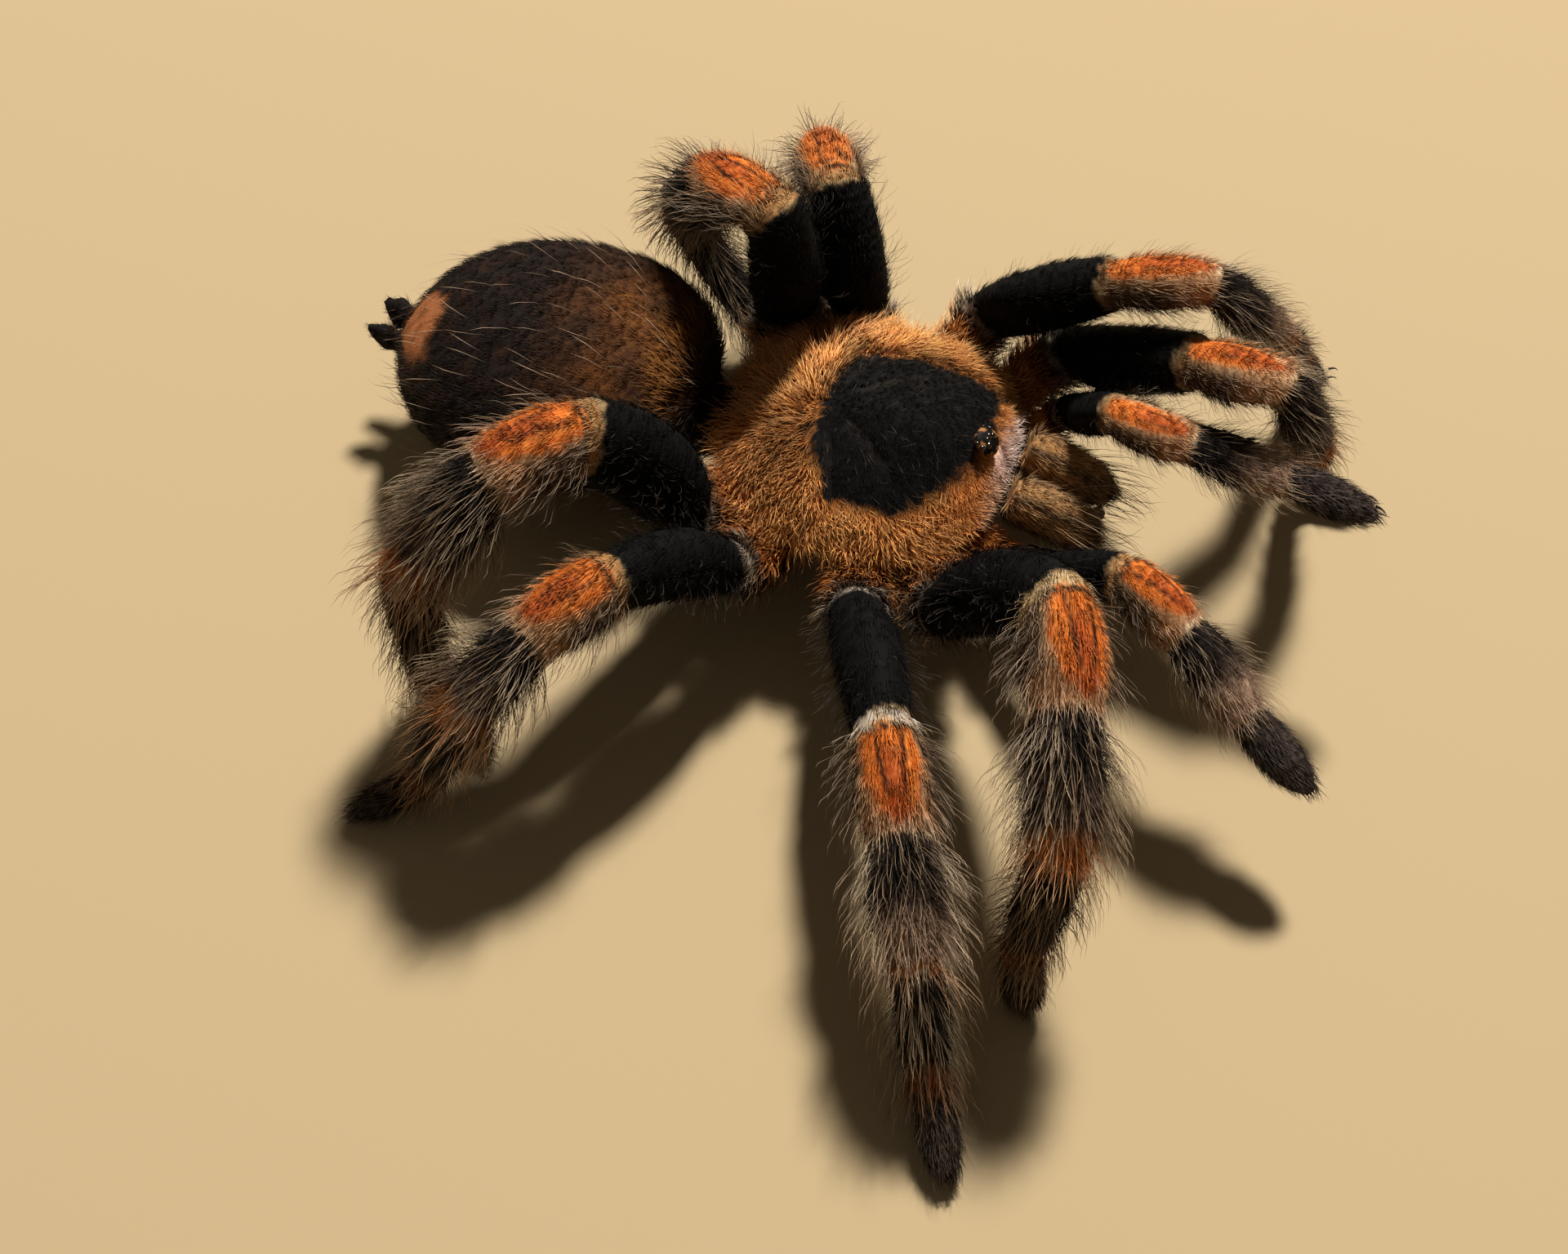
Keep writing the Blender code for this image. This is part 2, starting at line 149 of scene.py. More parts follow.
# %% The chain of joints
COXA_ROOTS = {
    "palp": (3.3, -8.7, 6.3),
    "leg_1": (4.5, -5.7, 6.4),
    "leg_2": (5.2, -2.0, 6.3),
    "leg_3": (5.2, 1.9, 6.3),
    "leg_4": (4.3, 5.6, 6.4),
}
SEGMENT_LENGTHS = {
    "palp": (9.5, 6.3, 7.0, 7.1),
    "leg_1": (14.8, 7.8, 9.7, 8.7, 6.6),
    "leg_2": (13.4, 7.5, 9.1, 8.6, 6.5),
    "leg_3": (11.6, 7.0, 7.7, 9.5, 6.0),
    "leg_4": (13.8, 7.2, 9.9, 12.2, 7.2),
}
# Hip, heading of the limb's plane, lean of that plane, pitches of femur to metatarsus, and how far
# metatarsus and tarsus turn out of the plane.
STANCE = {
    "right_leg_1": ((11.5, -9.2, 8.55), -27, 28, (58, -11, -27, -74), (10, 10)),
    "right_leg_2": ((13.5, -3.3, 8.2), -26, 2, (21, -14, -17, -47), (2, 2)),
    "right_leg_3": ((12.8, 6.2, 8.6), 35, -2, (35, -3, -31, -71), (-15, -15)),
    "right_leg_4": ((9.2, 10.4, 8.6), 45, -7, (61, 1, -41, -88), (0, 105)),
    "left_leg_1": ((13.2, -11.0, 7.5), -102, 15, (39, 24, -76, -103), (-5, -9)),
    "left_leg_2": ((13.6, -4.7, 8.8), -84, 13, (44, 19, -54, -79), (-17, -33)),
    "left_leg_3": ((11.9, 4.4, 7.8), 31, -4, (73, -29, -62, -139), (0, 180)),
    "left_leg_4": ((9.6, 9.7, 8.9), 63, -5, (94, -19, -62, -130), (0, 172)),
    "right_palp": ((7.1, -13.5, 7.1), -65, 18, (41, -6, -24, -18), (0, 2)),
    "left_palp": ((8.1, -12.9, 7.6), -98, 28, (60, -1, -2, -4), (2, 1)),
}
# Which of the pitches is the metatarsus's.
METATARSUS_PITCH = 3
# The last part of a foot that counts as its end, in mm.
TOE_END = 0.3


def unit(vector):
    return vector / np.linalg.norm(vector)


def toe_of(limb, ahead):
    """Middle of the farthest end of a limb's foot."""
    shape = node_shape(f"{limb}_foot")
    points = np.array([vert.co for vert in shape.verts])
    shape.free()
    reach = points @ ahead
    return points[reach > reach.max() - TOE_END].mean(axis=0)


def limb_chain(limb):
    """Joints of a limb and, for each segment, its axis and the directions of its back and side."""
    side, kind = limb.split("_", 1)
    sign = 1 if side == "left" else -1
    hip, heading, lean, pitches, turns = STANCE[limb]
    heading, lean = math.radians(heading), math.radians(lean)
    foot_turn, toe_turn = (math.radians(value) for value in turns)
    plumb = np.array((0.0, 0.0, 1.0))
    out = np.array((sign * math.cos(heading), math.sin(heading), 0.0))
    rise = plumb * math.cos(lean) + np.cross(out, plumb) * sign * math.sin(lean)
    across = np.cross(out, rise) * sign
    mirror = np.array((sign, 1, 1))
    joints = [np.array(COXA_ROOTS[kind]) * mirror, np.array(hip) * mirror]
    backs = [rise]
    for i, pitch in enumerate(math.radians(value) for value in pitches):
        step = out * math.cos(pitch) + rise * math.sin(pitch)
        backs.append(rise * math.cos(pitch) - out * math.sin(pitch))
        if i == METATARSUS_PITCH:
            step = step * math.cos(foot_turn) + across * math.sin(foot_turn)
        joints.append(joints[-1] + step * SEGMENT_LENGTHS[kind][i])
    if kind != "palp":
        ahead = unit(out * math.cos(toe_turn) + across * (1, 1, 0) * math.sin(toe_turn))
        joints.append(toe_of(limb, ahead))
        backs.append(backs[-1])
    axes = [unit(b - a) for a, b in zip(joints, joints[1:])]
    backs = [unit(back - axis * back.dot(axis)) for back, axis in zip(backs, axes)]
    sides = [np.cross(axis, back) for axis, back in zip(axes, backs)]
    return {"joints": np.array(joints), "axes": np.array(axes), "backs": np.array(backs),
            "sides": np.array(sides)}


chains = {limb: limb_chain(limb) for limb in STANCE}

# %% [markdown]
# ## One skin
# Under its hair the spider has one closed skin. The solids show the outline out to the tips of the
# short hair, cut apart at the joints, so the skin has to lie inside them by the coat's depth and
# run on without a seam. Each limb's solids are swollen until they meet, turned into one closed
# surface by a voxel remesh, smoothed, and drawn in again. Then the limbs, the body core and the
# abdomen are remeshed together, which joins them as flesh does.

# %% Swell, join and draw in
# How far the solids swell to meet, and the size of the skin's faces, in mm.
SWELL = 0.3
SKIN_VOXEL = 0.36
LIMB_SMOOTHING = 6
BODY_SMOOTHING = 4
# Depth of the coat in mm, by the part of the body. The left forelegs are more hair and less flesh
# below the knee, so their coat is FORELEG_SHARE times as deep there.
COAT_DEPTH = {"hip": 0.45, "femur": 0.5, "patella": 0.5, "tibia": 0.6, "foot": 0.45}
FORELEG_SHARE = 1.5
PALP_DEPTH = 0.35
BODY_DEPTH = {"abdomen": 0.55, "sternum": 0.1, "carapace": 0.6, "chelicera_left": 0.4, "chelicera_right": 0.4}
# Some thighs are folded against their neighbours, so their coat is pressed to this share of its depth.
PRESSED_SHARE = {"left_palp": 0.5, "left_leg_1": 0.4, "left_leg_2": 0.4, "left_leg_3": 0.0, "left_leg_4": 0.0,
                 "right_leg_4": 0.3}
# The waist joins shield and abdomen: middle, tilt in degrees, length, front and rear radius in mm.
WAIST = ((0.1, 11.0, 7.6), 72, 5.5, 2.3, 2.7)
# Each spinneret is drawn in by SPINNERET_DEPTH. A second copy, swollen by as much and moved by
# SPINNERET_ROOT, roots it in the abdomen.
SPINNERET_DEPTH = 0.05
SPINNERET_ROOT = (0, -1.1, 0.25)
LIMB_PARTS = ("hip", "femur", "patella", "tibia", "foot")


def shaped(name, mesh, *modifiers):
    """What is left of the mesh after modifiers, each given as its type and settings."""
    temporary = new_object("temporary", mesh)
    for kind, settings in modifiers:
        modifier = temporary.modifiers.new(kind, kind)
        for setting, value in settings.items():
            setattr(modifier, setting, value)
    graph = bpy.context.evaluated_depsgraph_get()
    result = bpy.data.meshes.new_from_object(temporary.evaluated_get(graph))
    result.name = name
    bpy.data.objects.remove(temporary)
    bpy.data.meshes.remove(mesh)
    return result


def remeshed(name, mesh, smoothing):
    """The mesh as one closed surface of even faces."""
    return shaped(name, mesh, ("REMESH", {"mode": "VOXEL", "voxel_size": SKIN_VOXEL}),
                  ("SMOOTH", {"factor": 0.5, "iterations": smoothing}))


def nearest_names(points, names):
    """For each point, the position in names of the CAD node whose surface lies nearest."""
    corners, faces, owners = [], [], []
    for number, name in enumerate(names):
        shape = node_shape(name)
        bmesh.ops.triangulate(shape, faces=shape.faces)
        start = len(corners)
        corners.extend(vert.co.copy() for vert in shape.verts)
        shape.verts.index_update()
        faces.extend(tuple(start + vert.index for vert in face.verts) for face in shape.faces)
        owners.extend([number] * len(shape.faces))
        shape.free()
    tree = BVHTree.FromPolygons(corners, faces)
    return np.array([owners[tree.find_nearest(point)[2]] for point in points.tolist()])


def limb_shell(limb):
    names = [f"{limb}_{part}" for part in LIMB_PARTS]
    joined = as_mesh(limb, [node_shape(name, SWELL) for name in names])
    shell = remeshed(limb, joined, LIMB_SMOOTHING)
    points = points_of(shell)
    shares = dict.fromkeys(("hip", "femur"), PRESSED_SHARE.get(limb, 1))
    if limb in ("left_leg_1", "left_leg_2"):
        shares.update(dict.fromkeys(("patella", "tibia", "foot"), FORELEG_SHARE))
    depths = np.array([(PALP_DEPTH if "palp" in limb else COAT_DEPTH[part]) * shares.get(part, 1)
                       for part in LIMB_PARTS])
    depth = depths[nearest_names(points, names)]
    move_points(shell, points - normals_of(shell) * (SWELL + depth)[:, None])
    return shell


core = [node_shape(name, -depth) for name, depth in BODY_DEPTH.items()]
for name in ("spinneret_left", "spinneret_right"):
    core += [node_shape(name, -SPINNERET_DEPTH), node_shape(name, SPINNERET_DEPTH)]
    bmesh.ops.translate(core[-1], verts=core[-1].verts, vec=SPINNERET_ROOT)
for limb in STANCE:
    core.append(bmesh.new())
    core[-1].from_mesh(limb_shell(limb))
middle, tilt, length, front_radius, rear_radius = WAIST
core.append(bmesh.new())
bmesh.ops.create_cone(core[-1], cap_ends=True, segments=24, radius1=rear_radius, radius2=front_radius,
                      depth=length,
                      matrix=Matrix.Translation(middle) @ Matrix.Rotation(math.radians(tilt), 4, "X"))
skin_mesh = remeshed("skin", as_mesh("body", core), BODY_SMOOTHING)
skin_points = points_of(skin_mesh)
print("skin faces:", len(skin_mesh.polygons))

# %% [markdown]
# ## Where each point of the skin is
# Markings and hair follow the anatomy: how far along its segment a point is, and how far round
# from the back of the limb. The nearest solid says which part a point belongs to, and the chain of
# joints then gives both measures.

# %% Survey the skin
BODY_NODES = ["abdomen", "sternum", "chelicera_left", "chelicera_right", "spinneret_left",
              "spinneret_right", "carapace"]
LIMB_NODES = [f"{limb}_{part}" for limb in STANCE for part in LIMB_PARTS]
node_names = BODY_NODES + LIMB_NODES
nearest = nearest_names(skin_points, node_names)
count = len(skin_points)
# Segments are counted from the hip, 0, and only the legs have a tarsus apart from the metatarsus.
TARSUS = 5


def smooth_step(value, start, end):
    """0 before start, 1 after end, smooth between; start may be the larger."""
    share = np.clip((value - start) / (end - start), 0, 1)
    return share * share * (3 - 2 * share)


def survey_limb(limb, points, first):
    """Segment number, way along it, angle from its back, way along the whole limb, and hair lie.

    The way is 0 and 1 on the planes that halve the bends at a segment's two joints.
    """
    chain = chains[limb]
    joints, axes = chain["joints"], chain["axes"]
    lengths = np.linalg.norm(np.diff(joints, axis=0), axis=1)
    segment = first.copy()
    last = len(axes) - 1
    if last == TARSUS:
        beyond = ((points - joints[TARSUS]) @ unit(axes[TARSUS - 1] + axes[TARSUS])) > 0
        segment[(first == TARSUS - 1) & beyond] = TARSUS
    rest = points - joints[segment]
    way = np.einsum("ij,ij->i", rest, axes[segment]) / lengths[segment]
    off = rest - axes[segment] * (way * lengths[segment])[:, None]
    around = np.arctan2(np.einsum("ij,ij->i", off, chain["sides"][segment]),
                        np.einsum("ij,ij->i", off, chain["backs"][segment]))
    before_joints, after_joints = axes[[0, *range(last + 1)]], axes[[*range(last + 1), last]]
    joint_planes = np.array([unit(a + b) for a, b in zip(before_joints, after_joints)])
    before = np.einsum("ij,ij->i", points - joints[segment], joint_planes[segment])
    after = np.einsum("ij,ij->i", joints[segment + 1] - points, joint_planes[segment + 1])
    way = np.clip(before / np.maximum(before + after, 0.1 * lengths[segment]), 0, 1)
    total = np.concatenate(([0], np.cumsum(lengths)))
    along = (total[segment] + way * lengths[segment]) / total[-1]
    ahead = 0.5 * smooth_step(way, 0.5, 1)[:, None]
    behind = 0.5 * smooth_step(way, 0.5, 0)[:, None]
    lie = (axes[segment] * (1 - ahead - behind) + axes[np.minimum(segment + 1, last)] * ahead
           + axes[np.maximum(segment - 1, 0)] * behind)
    return segment, way, around, along, lie


segment, way, around = np.zeros(count, int), np.zeros(count), np.zeros(count)
unwrap, lie = np.zeros((count, 2)), np.tile((0.0, 1.0, 0.0), (count, 1))
limb_of = np.full(count, -1)
for number, limb in enumerate(STANCE):
    start = len(BODY_NODES) + number * len(LIMB_PARTS)
    mine = (nearest >= start) & (nearest < start + len(LIMB_PARTS))
    limb_of[mine] = number
    segment[mine], way[mine], around[mine], along, lie[mine] = survey_limb(
        limb, skin_points[mine], nearest[mine] - start)
    unwrap[mine] = np.stack((around[mine] / (2 * math.pi) + 0.5, along), axis=1)
kinds = np.array([limb.split("_", 1)[1] for limb in STANCE])
kind_of = np.where(limb_of >= 0, kinds[np.maximum(limb_of, 0)], "body")
on_limb = limb_of >= 0
on_palp = on_limb & (kind_of == "palp")
on_leg = on_limb & ~on_palp


def on_limbs(*names):
    """True where a point of skin lies on one of these limbs."""
    return np.isin(limb_of, [list(STANCE).index(name) for name in names])


def near_nodes(*names):
    """True where one of these nodes is a point's nearest."""
    return np.isin(nearest, [node_names.index(name) for name in names])


print("skin points on the limbs:", int(on_limb.sum()), "of", count)

# %% [markdown]
# ## Markings
# A red-knee is near-black velvet with a flame of orange on the back of each patella, pale rings
# beside the joints, and a tan shield round a black patch. Each colour is a brush stroke laid where
# the anatomy says: one colour for the skin and the roots of the hair, one for the tips. The strokes
# are written on the skin's own points, so the skin and every hair that grows from it share them.

# %% Colours and the brush
def linear(code):
    """An sRGB hex colour as linear light."""
    rgb = np.array([int(code[i:i + 2], 16) / 255 for i in (0, 2, 4)])
    return np.where(rgb <= 0.04045, rgb / 12.92, ((rgb + 0.055) / 1.055) ** 2.4)


def wobble(points, size, turn=0.0):
    """A smooth pattern from about -1 to 1, whose blots are about size across."""
    x, y, z = (points / size * 2.2).T
    return (np.sin(x + 1.3 * np.sin(y + turn)) + np.sin(1.7 * y + 1.1 * np.sin(1.3 * z - turn))
            + np.sin(1.4 * z + 1.2 * np.sin(1.1 * x + 2 * turn))) / 3


class Coat:
    """Numbers of the hair at each point of a surface: root and tip colours, and both layers' hair."""

    def __init__(self, points):
        self.under = np.tile(linear("14100e"), (len(points), 1))
        self.over = np.tile(linear("2a211c"), (len(points), 1))
        self.fur = np.full(len(points), 1.0)
        self.fur_length = np.full(len(points), 1.2)
        self.fur_stand = np.full(len(points), 0.35)
        self.bristle = np.zeros(len(points))
        self.bristle_length = np.full(len(points), 2.5)
        self.bristle_stand = np.full(len(points), 0.6)
        self.bristle_tip = np.tile(linear("b9aa9b"), (len(points), 1))

    def paint(self, part, *strokes):
        """Strokes over a part, each a weight and the colours of root and tip."""
        for weight, under, over in strokes:
            share = np.clip(part * weight, 0, 1)[:, None]
            self.under += (linear(under) - self.under) * share
            self.over += (linear(over) - self.over) * share

    def set(self, where, **values):
        """Numbers of the hair where a part lies; each is one value, a colour or an array."""
        for name, value in values.items():
            target = getattr(self, name)
            if isinstance(value, str):
                target[where] = linear(value)
            elif isinstance(value, np.ndarray):
                target[where] = value[where]
            else:
                target[where] = value


def band(value, start, end, soft=0.04):
    """1 between start and end, soft at both."""
    return smooth_step(value, start - soft, start + soft) * smooth_step(value, end + soft, end - soft)


# Edges of markings wander by this share of a segment, in blots of so many mm.
RAGGED_SHARE, RAGGED_BLOTS = 0.035, 1.1
coat = Coat(skin_points)
edge_way = way + RAGGED_SHARE * wobble(skin_points, RAGGED_BLOTS)
print("colours of dark skin and hair:", coat.under[0].round(3), coat.over[0].round(3))

# %% [markdown]
# Hips and femora. The hip is orange-brown as far as a dark and then a pale rim. The femur is plain
# black velvet, a little browner below, with thin pale rims at both ends.

# %% Paint hips and femora
hips, femora = on_limb & (segment == 0), on_limb & (segment == 1)
from_back = np.abs(around)
upper_side = smooth_step(from_back, 2.3, 1.5)
coat.paint(hips,
           (1.0, "1c1410", "4a3424"),
           (upper_side * band(edge_way, -1, 0.86, 0.06), "8a4c1e", "eb9a50"),
           (upper_side * band(edge_way, 0.87, 0.93, 0.02), "34261c", "7a6452"),
           (band(edge_way, 0.965, 2, 0.015), "8e8070", "d6c6b0"))
coat.set(hips, fur=1.3, fur_length=2.0, fur_stand=0.6, bristle=3.4, bristle_length=3.0,
         bristle_stand=0.6, bristle_tip="e8a260")
coat.set(hips & (way > 0.8), bristle_tip="dcae78", bristle_length=2.4)
coat.paint(femora,
           (1.0, "030202", "090706"),
           (smooth_step(from_back, 1.4, 2.8) * 0.8, "120d0b", "241a15"),
           (band(edge_way, -1, 0.02, 0.02), "6f6257", "b3a596"),
           (band(edge_way, 0.985, 2, 0.012), "7c6444", "c4ac88"))
coat.set(femora, fur_length=1.1, fur_stand=0.3, bristle=0.3 + 1.8 * smooth_step(from_back, 0.6, 1.2),
         bristle_length=2.4, bristle_stand=0.75, bristle_tip="6e6056")
print("hips", int(hips.sum()), "femora", int(femora.sum()))

# %% [markdown]
# Patellae. Each carries the flame: widest by its root, streaked along, and split by two thin bald
# lines. A pale ring and a crease mark its root and a cream rim its end. The left forelegs and palp
# have a narrower, turned flame and a thin ring, and the right forelegs the palest rings.

# %% Lay out the flame
# Angles are from the back of the limb in radians, and ways are shares of the patella's length.
FLAME_HALF_ANGLE, FORELEG_HALF_ANGLE = 0.8, 0.64
FLAME_MIDDLE, FLAME_HALF_LENGTH = 0.36, 0.54
RING_END, FORELEG_RING_END = 0.11, 0.045
FORELEG_TURN = 0.28
STREAKS_PER_RADIAN = 19
patellae = on_limb & (segment == 2)
left_fore = on_limbs("left_leg_1", "left_leg_2", "left_palp")
pale_ringed = on_limbs("right_leg_1", "right_leg_2")
flame_around = around + FORELEG_TURN * left_fore
from_flame = np.abs(flame_around)
flank = smooth_step(from_flame, 0.7, 1.2)
rounding = np.clip(1 - ((way - FLAME_MIDDLE) / FLAME_HALF_LENGTH) ** 2, 0, 1)
flame_edge = (np.where(left_fore, FORELEG_HALF_ANGLE, FLAME_HALF_ANGLE) * np.sqrt(rounding)
              + 0.07 * wobble(skin_points, 0.8))
ring_end = np.where(left_fore, FORELEG_RING_END, RING_END)
flame = (smooth_step(from_flame, flame_edge + 0.1, flame_edge - 0.16)
         * smooth_step(edge_way, ring_end - 0.04, ring_end + 0.03))
streak = np.sin(flame_around * STREAKS_PER_RADIAN + 1.6 * wobble(skin_points, 2.2))
line_place = 0.42 - 0.34 * way + 0.025 * wobble(skin_points, 2.4)
bald_line = (smooth_step(np.abs(from_flame - line_place), 0.08, 0.03)
             * band(way, np.where(left_fore, 0.4, 0.2), 0.72))
from_crease = np.abs(way - ring_end - 0.025 - 0.02 * np.cos(flame_around * 2.2))
crease = smooth_step(from_crease, 0.028, 0.012) * (from_flame < 0.9) * ~left_fore
print("patellae", int(patellae.sum()), "under the flame", int((patellae & (flame > 0.5)).sum()))

# %% Paint patellae
flame_core = flame * smooth_step(way, 0.2, 0.5) * smooth_step(from_flame, 0.42, 0.18)
coat.paint(patellae,
           (1.0, "94704f", "dcba92"),
           (band(way, 0.06, 0.75, 0.08) * flank, "4e3c2e", "a08468"),
           (left_fore * flank * 0.6, "3c2a1e", "8c6c52"),
           (smooth_step(edge_way, 0.55, 0.8) * 0.8, "a8744c", "eccaa0"),
           (flame, "c2601a", "ffa450"),
           (flame * smooth_step(streak, 0.2, 0.8) * 0.5, "8a3c12", "cc6c2e"),
           (flame * smooth_step(streak, -0.3, -0.9) * 0.5, "cc7630", "ffc282"),
           (flame_core * 0.6, "8a3216", "cc6034"),
           (smooth_step(edge_way, ring_end + 0.03, ring_end - 0.03), "8a6238", "dcb480"),
           (left_fore * smooth_step(edge_way, 0.07, 0.02), "6a4a2c", "b89468"),
           (flank * smooth_step(streak, 0.3, 0.9) * 0.45, "241a14", "64503f"),
           (pale_ringed * smooth_step(edge_way, 0.13, 0.07), "a08258", "f0dcb8"),
           (on_limbs("right_leg_2") * smooth_step(edge_way, 0.1, 0.05), "b4a492", "fff4e6"),
           (crease, "1a120e", "3c2818"),
           (bald_line * np.where(left_fore, 0.7, 1.0), "120c0a", "2e170c"),
           (band(edge_way, 0.96, 2, 0.02), "c2a47e", "f4e6cc"))
coat.set(patellae, fur_length=1.4, fur_stand=0.38, bristle=3.4 * flank + 0.8,
         bristle_length=2.0 + flank * (0.8 + 1.5 * way), bristle_stand=0.4 + 0.18 * flank,
         bristle_tip="c9b29a")
coat.set(patellae & (from_flame < 0.8), bristle_tip="f0b070", bristle_length=1.9)
coat.set(patellae & (way > 0.7), bristle=2.6, bristle_tip="e8d4bc", bristle_length=2.9)
coat.set(patellae & (flame > 0.3), fur_length=1.35, fur_stand=0.3, fur=1.15)
bare = patellae & ~left_fore & (bald_line > np.where(pale_ringed, 0.4, 0.6))
coat.set(bare, fur=0.12, bristle=0.0)
print("bare points between the flame's halves:", int(bare.sum()))

# %% [markdown]
# Tibiae and feet. The tibia runs from black to a rusty ring, which is broad and cream on the second
# legs and the palps, and its long pale bristles give the leg its brush. The metatarsus is black
# with a narrow rusty ring. Hair under the foot is short, because the spider stands on it.

# %% Paint tibiae and feet
# Skin lower than this, in mm, lies on the floor, and its hair is flattened.
FLOOR_SIDE = 1.2
tibiae, metatarsi = on_limb & (segment == 3), on_leg & (segment == TARSUS - 1)
toe = np.where(on_palp, segment == TARSUS - 1, segment == TARSUS)
second_legs = kind_of == "leg_2"
forelegs = np.isin(kind_of, ["leg_1", "leg_2"])
coat.paint(tibiae,
           (1.0, "120d0b", "3c3029"),
           (forelegs * smooth_step(from_back, 0.3, 1.0) * 0.6, "2c201a", "6e5a4c"),
           (band(edge_way, 0.45, 2, 0.12), "3c2d25", "8c7666"),
           ((on_leg & ~second_legs) * band(edge_way, 0.74, 0.96, 0.05), "a05820", "e6964c"),
           (second_legs * band(edge_way, 0.58, 0.97, 0.06), "7c6250", "cdb094"),
           (second_legs * band(edge_way, 0.9, 0.97, 0.02), "a05a28", "dc9454"),
           (on_palp * band(edge_way, 0.6, 2, 0.08), "927460", "e0c6ac"),
           (band(edge_way, 0.965, 2, 0.02), "b49a7c", "ecdec8"))
coat.paint(metatarsi,
           (1.0, "14100e", "40342d"),
           (band(edge_way, 0.78, 0.93, 0.04), "7a441e", "bd7a40"),
           (band(edge_way, 0.97, 2, 0.02), "7c6850", "c0aa8a"))
coat.paint(toe, (1.0, "1e1713", "6a5849"), (on_palp * 1.0, "241b18", "74665e"))
coat.set(tibiae, fur_length=1.5, fur_stand=0.36, bristle=6.2, bristle_length=4.4, bristle_stand=0.5,
         bristle_tip="e6caa6")
coat.set(tibiae & (from_back < 0.6), bristle=4.0, bristle_tip="b89a78")
coat.set(metatarsi, fur_length=1.4, fur_stand=0.34, bristle=5.5, bristle_length=3.8,
         bristle_stand=0.46, bristle_tip="c4a684")
coat.set(toe, fur_length=1.4, fur_stand=0.22, fur=1.3, bristle=2.5, bristle_length=1.9,
         bristle_stand=0.5, bristle_tip="8a776a")
coat.set(on_palp, fur_length=coat.fur_length * 0.75, bristle_length=coat.bristle_length * 0.6)
coat.set(on_limbs("left_leg_1", "left_leg_2"), bristle_length=coat.bristle_length * 0.65,
         fur_length=coat.fur_length * 0.9)
coat.set(toe & on_palp, bristle=0.8, bristle_length=1.2, fur_length=1.3)
coat.set(on_limb & (skin_points[:, 2] < FLOOR_SIDE), fur_stand=0.15, bristle=coat.bristle * 0.3,
         bristle_length=coat.bristle_length * 0.6)
print("tibiae", int(tibiae.sum()), "metatarsi", int(metatarsi.sum()), "toes", int(toe.sum()))

# %% [markdown]
# The body. The abdomen is dark velvet with a rusty glow towards the shield, a bald tan patch in
# front of the tail, where the stinging hairs have been kicked off, and long pale bristles that
# sweep back.

# %% Paint the abdomen
ABDOMEN_FRONT = (0.2, 11.7, 10.3)
ABDOMEN_LENGTH = 26.2
ABDOMEN_DROOP = math.radians(7.0)
# Middle and half size of the bald patch, as a way along the abdomen and a turn from its back.
BALD_WAY, BALD_HALF_WAY = 0.87, 0.085
BALD_TURN, BALD_HALF_TURN = -0.3, 0.62
abdomen, spinnerets = near_nodes("abdomen"), near_nodes("spinneret_left", "spinneret_right")
abdomen_axis = np.array((0.0, math.cos(ABDOMEN_DROOP), -math.sin(ABDOMEN_DROOP)))
from_front = skin_points - ABDOMEN_FRONT
back_way = from_front @ abdomen_axis / ABDOMEN_LENGTH
back_off = from_front - np.outer(back_way * ABDOMEN_LENGTH, abdomen_axis)
back_around = np.arctan2(back_off[:, 0], back_off[:, 2])
rust = smooth_step(back_way, 0.55, 0.05) * smooth_step(np.abs(back_around), 1.5, 0.6)
rust *= 0.75 + 0.5 * wobble(skin_points, 2.6)
from_patch = np.hypot((back_way - BALD_WAY) / BALD_HALF_WAY, (back_around - BALD_TURN) / BALD_HALF_TURN)
patch = smooth_step(from_patch + 0.16 * wobble(skin_points, 1.5) + 0.1 * wobble(skin_points, 0.6), 1.2, 0.82)
coat.paint(abdomen,
           (1.0, "120c09", "33221a"),
           (smooth_step(wobble(skin_points, 1.3), 0.1, 0.7) * 0.25, "3c200f", "5e3a20"),
           (rust, "5e3212", "b87a30"),
           (smooth_step(back_way, 0.1, 0.02), "1c110b", "3c2615"),
           (patch, "8c5430", "a0663e"),
           (patch * smooth_step(wobble(skin_points, 0.9), 0.1, 0.8) * 0.5, "a86a42", "c08256"))
coat.set(abdomen, fur_length=1.15 + 1.3 * smooth_step(back_way, 0.2, 0.05), fur_stand=0.25,
         bristle=0.2 * smooth_step(np.abs(back_around), 2.4, 1.6), bristle_length=3.9,
         bristle_stand=0.3, bristle_tip="f6d2b0")
coat.set(abdomen, fur=1.0 - 0.85 * patch, bristle=coat.bristle * (1 - patch))
coat.paint(spinnerets, (1.0, "120e0c", "2a211d"))
coat.set(spinnerets, fur_length=0.6, fur_stand=0.3)
behind = abdomen | spinnerets
lie[behind] = abdomen_axis
unwrap[behind] = np.stack((back_around / (2 * math.pi) + 0.5, np.clip(back_way, -0.1, 1.1) * 0.8 + 0.1),
                          axis=1)[behind]
print("bald patch points:", int((abdomen & (patch > 0.5)).sum()))

# %% [markdown]
# The jaw bases, or chelicerae, are tan by the shield and dark at the fangs, streaked along, with
# long pale bristles that reach past them. The breastplate between the legs is plain dark velvet.

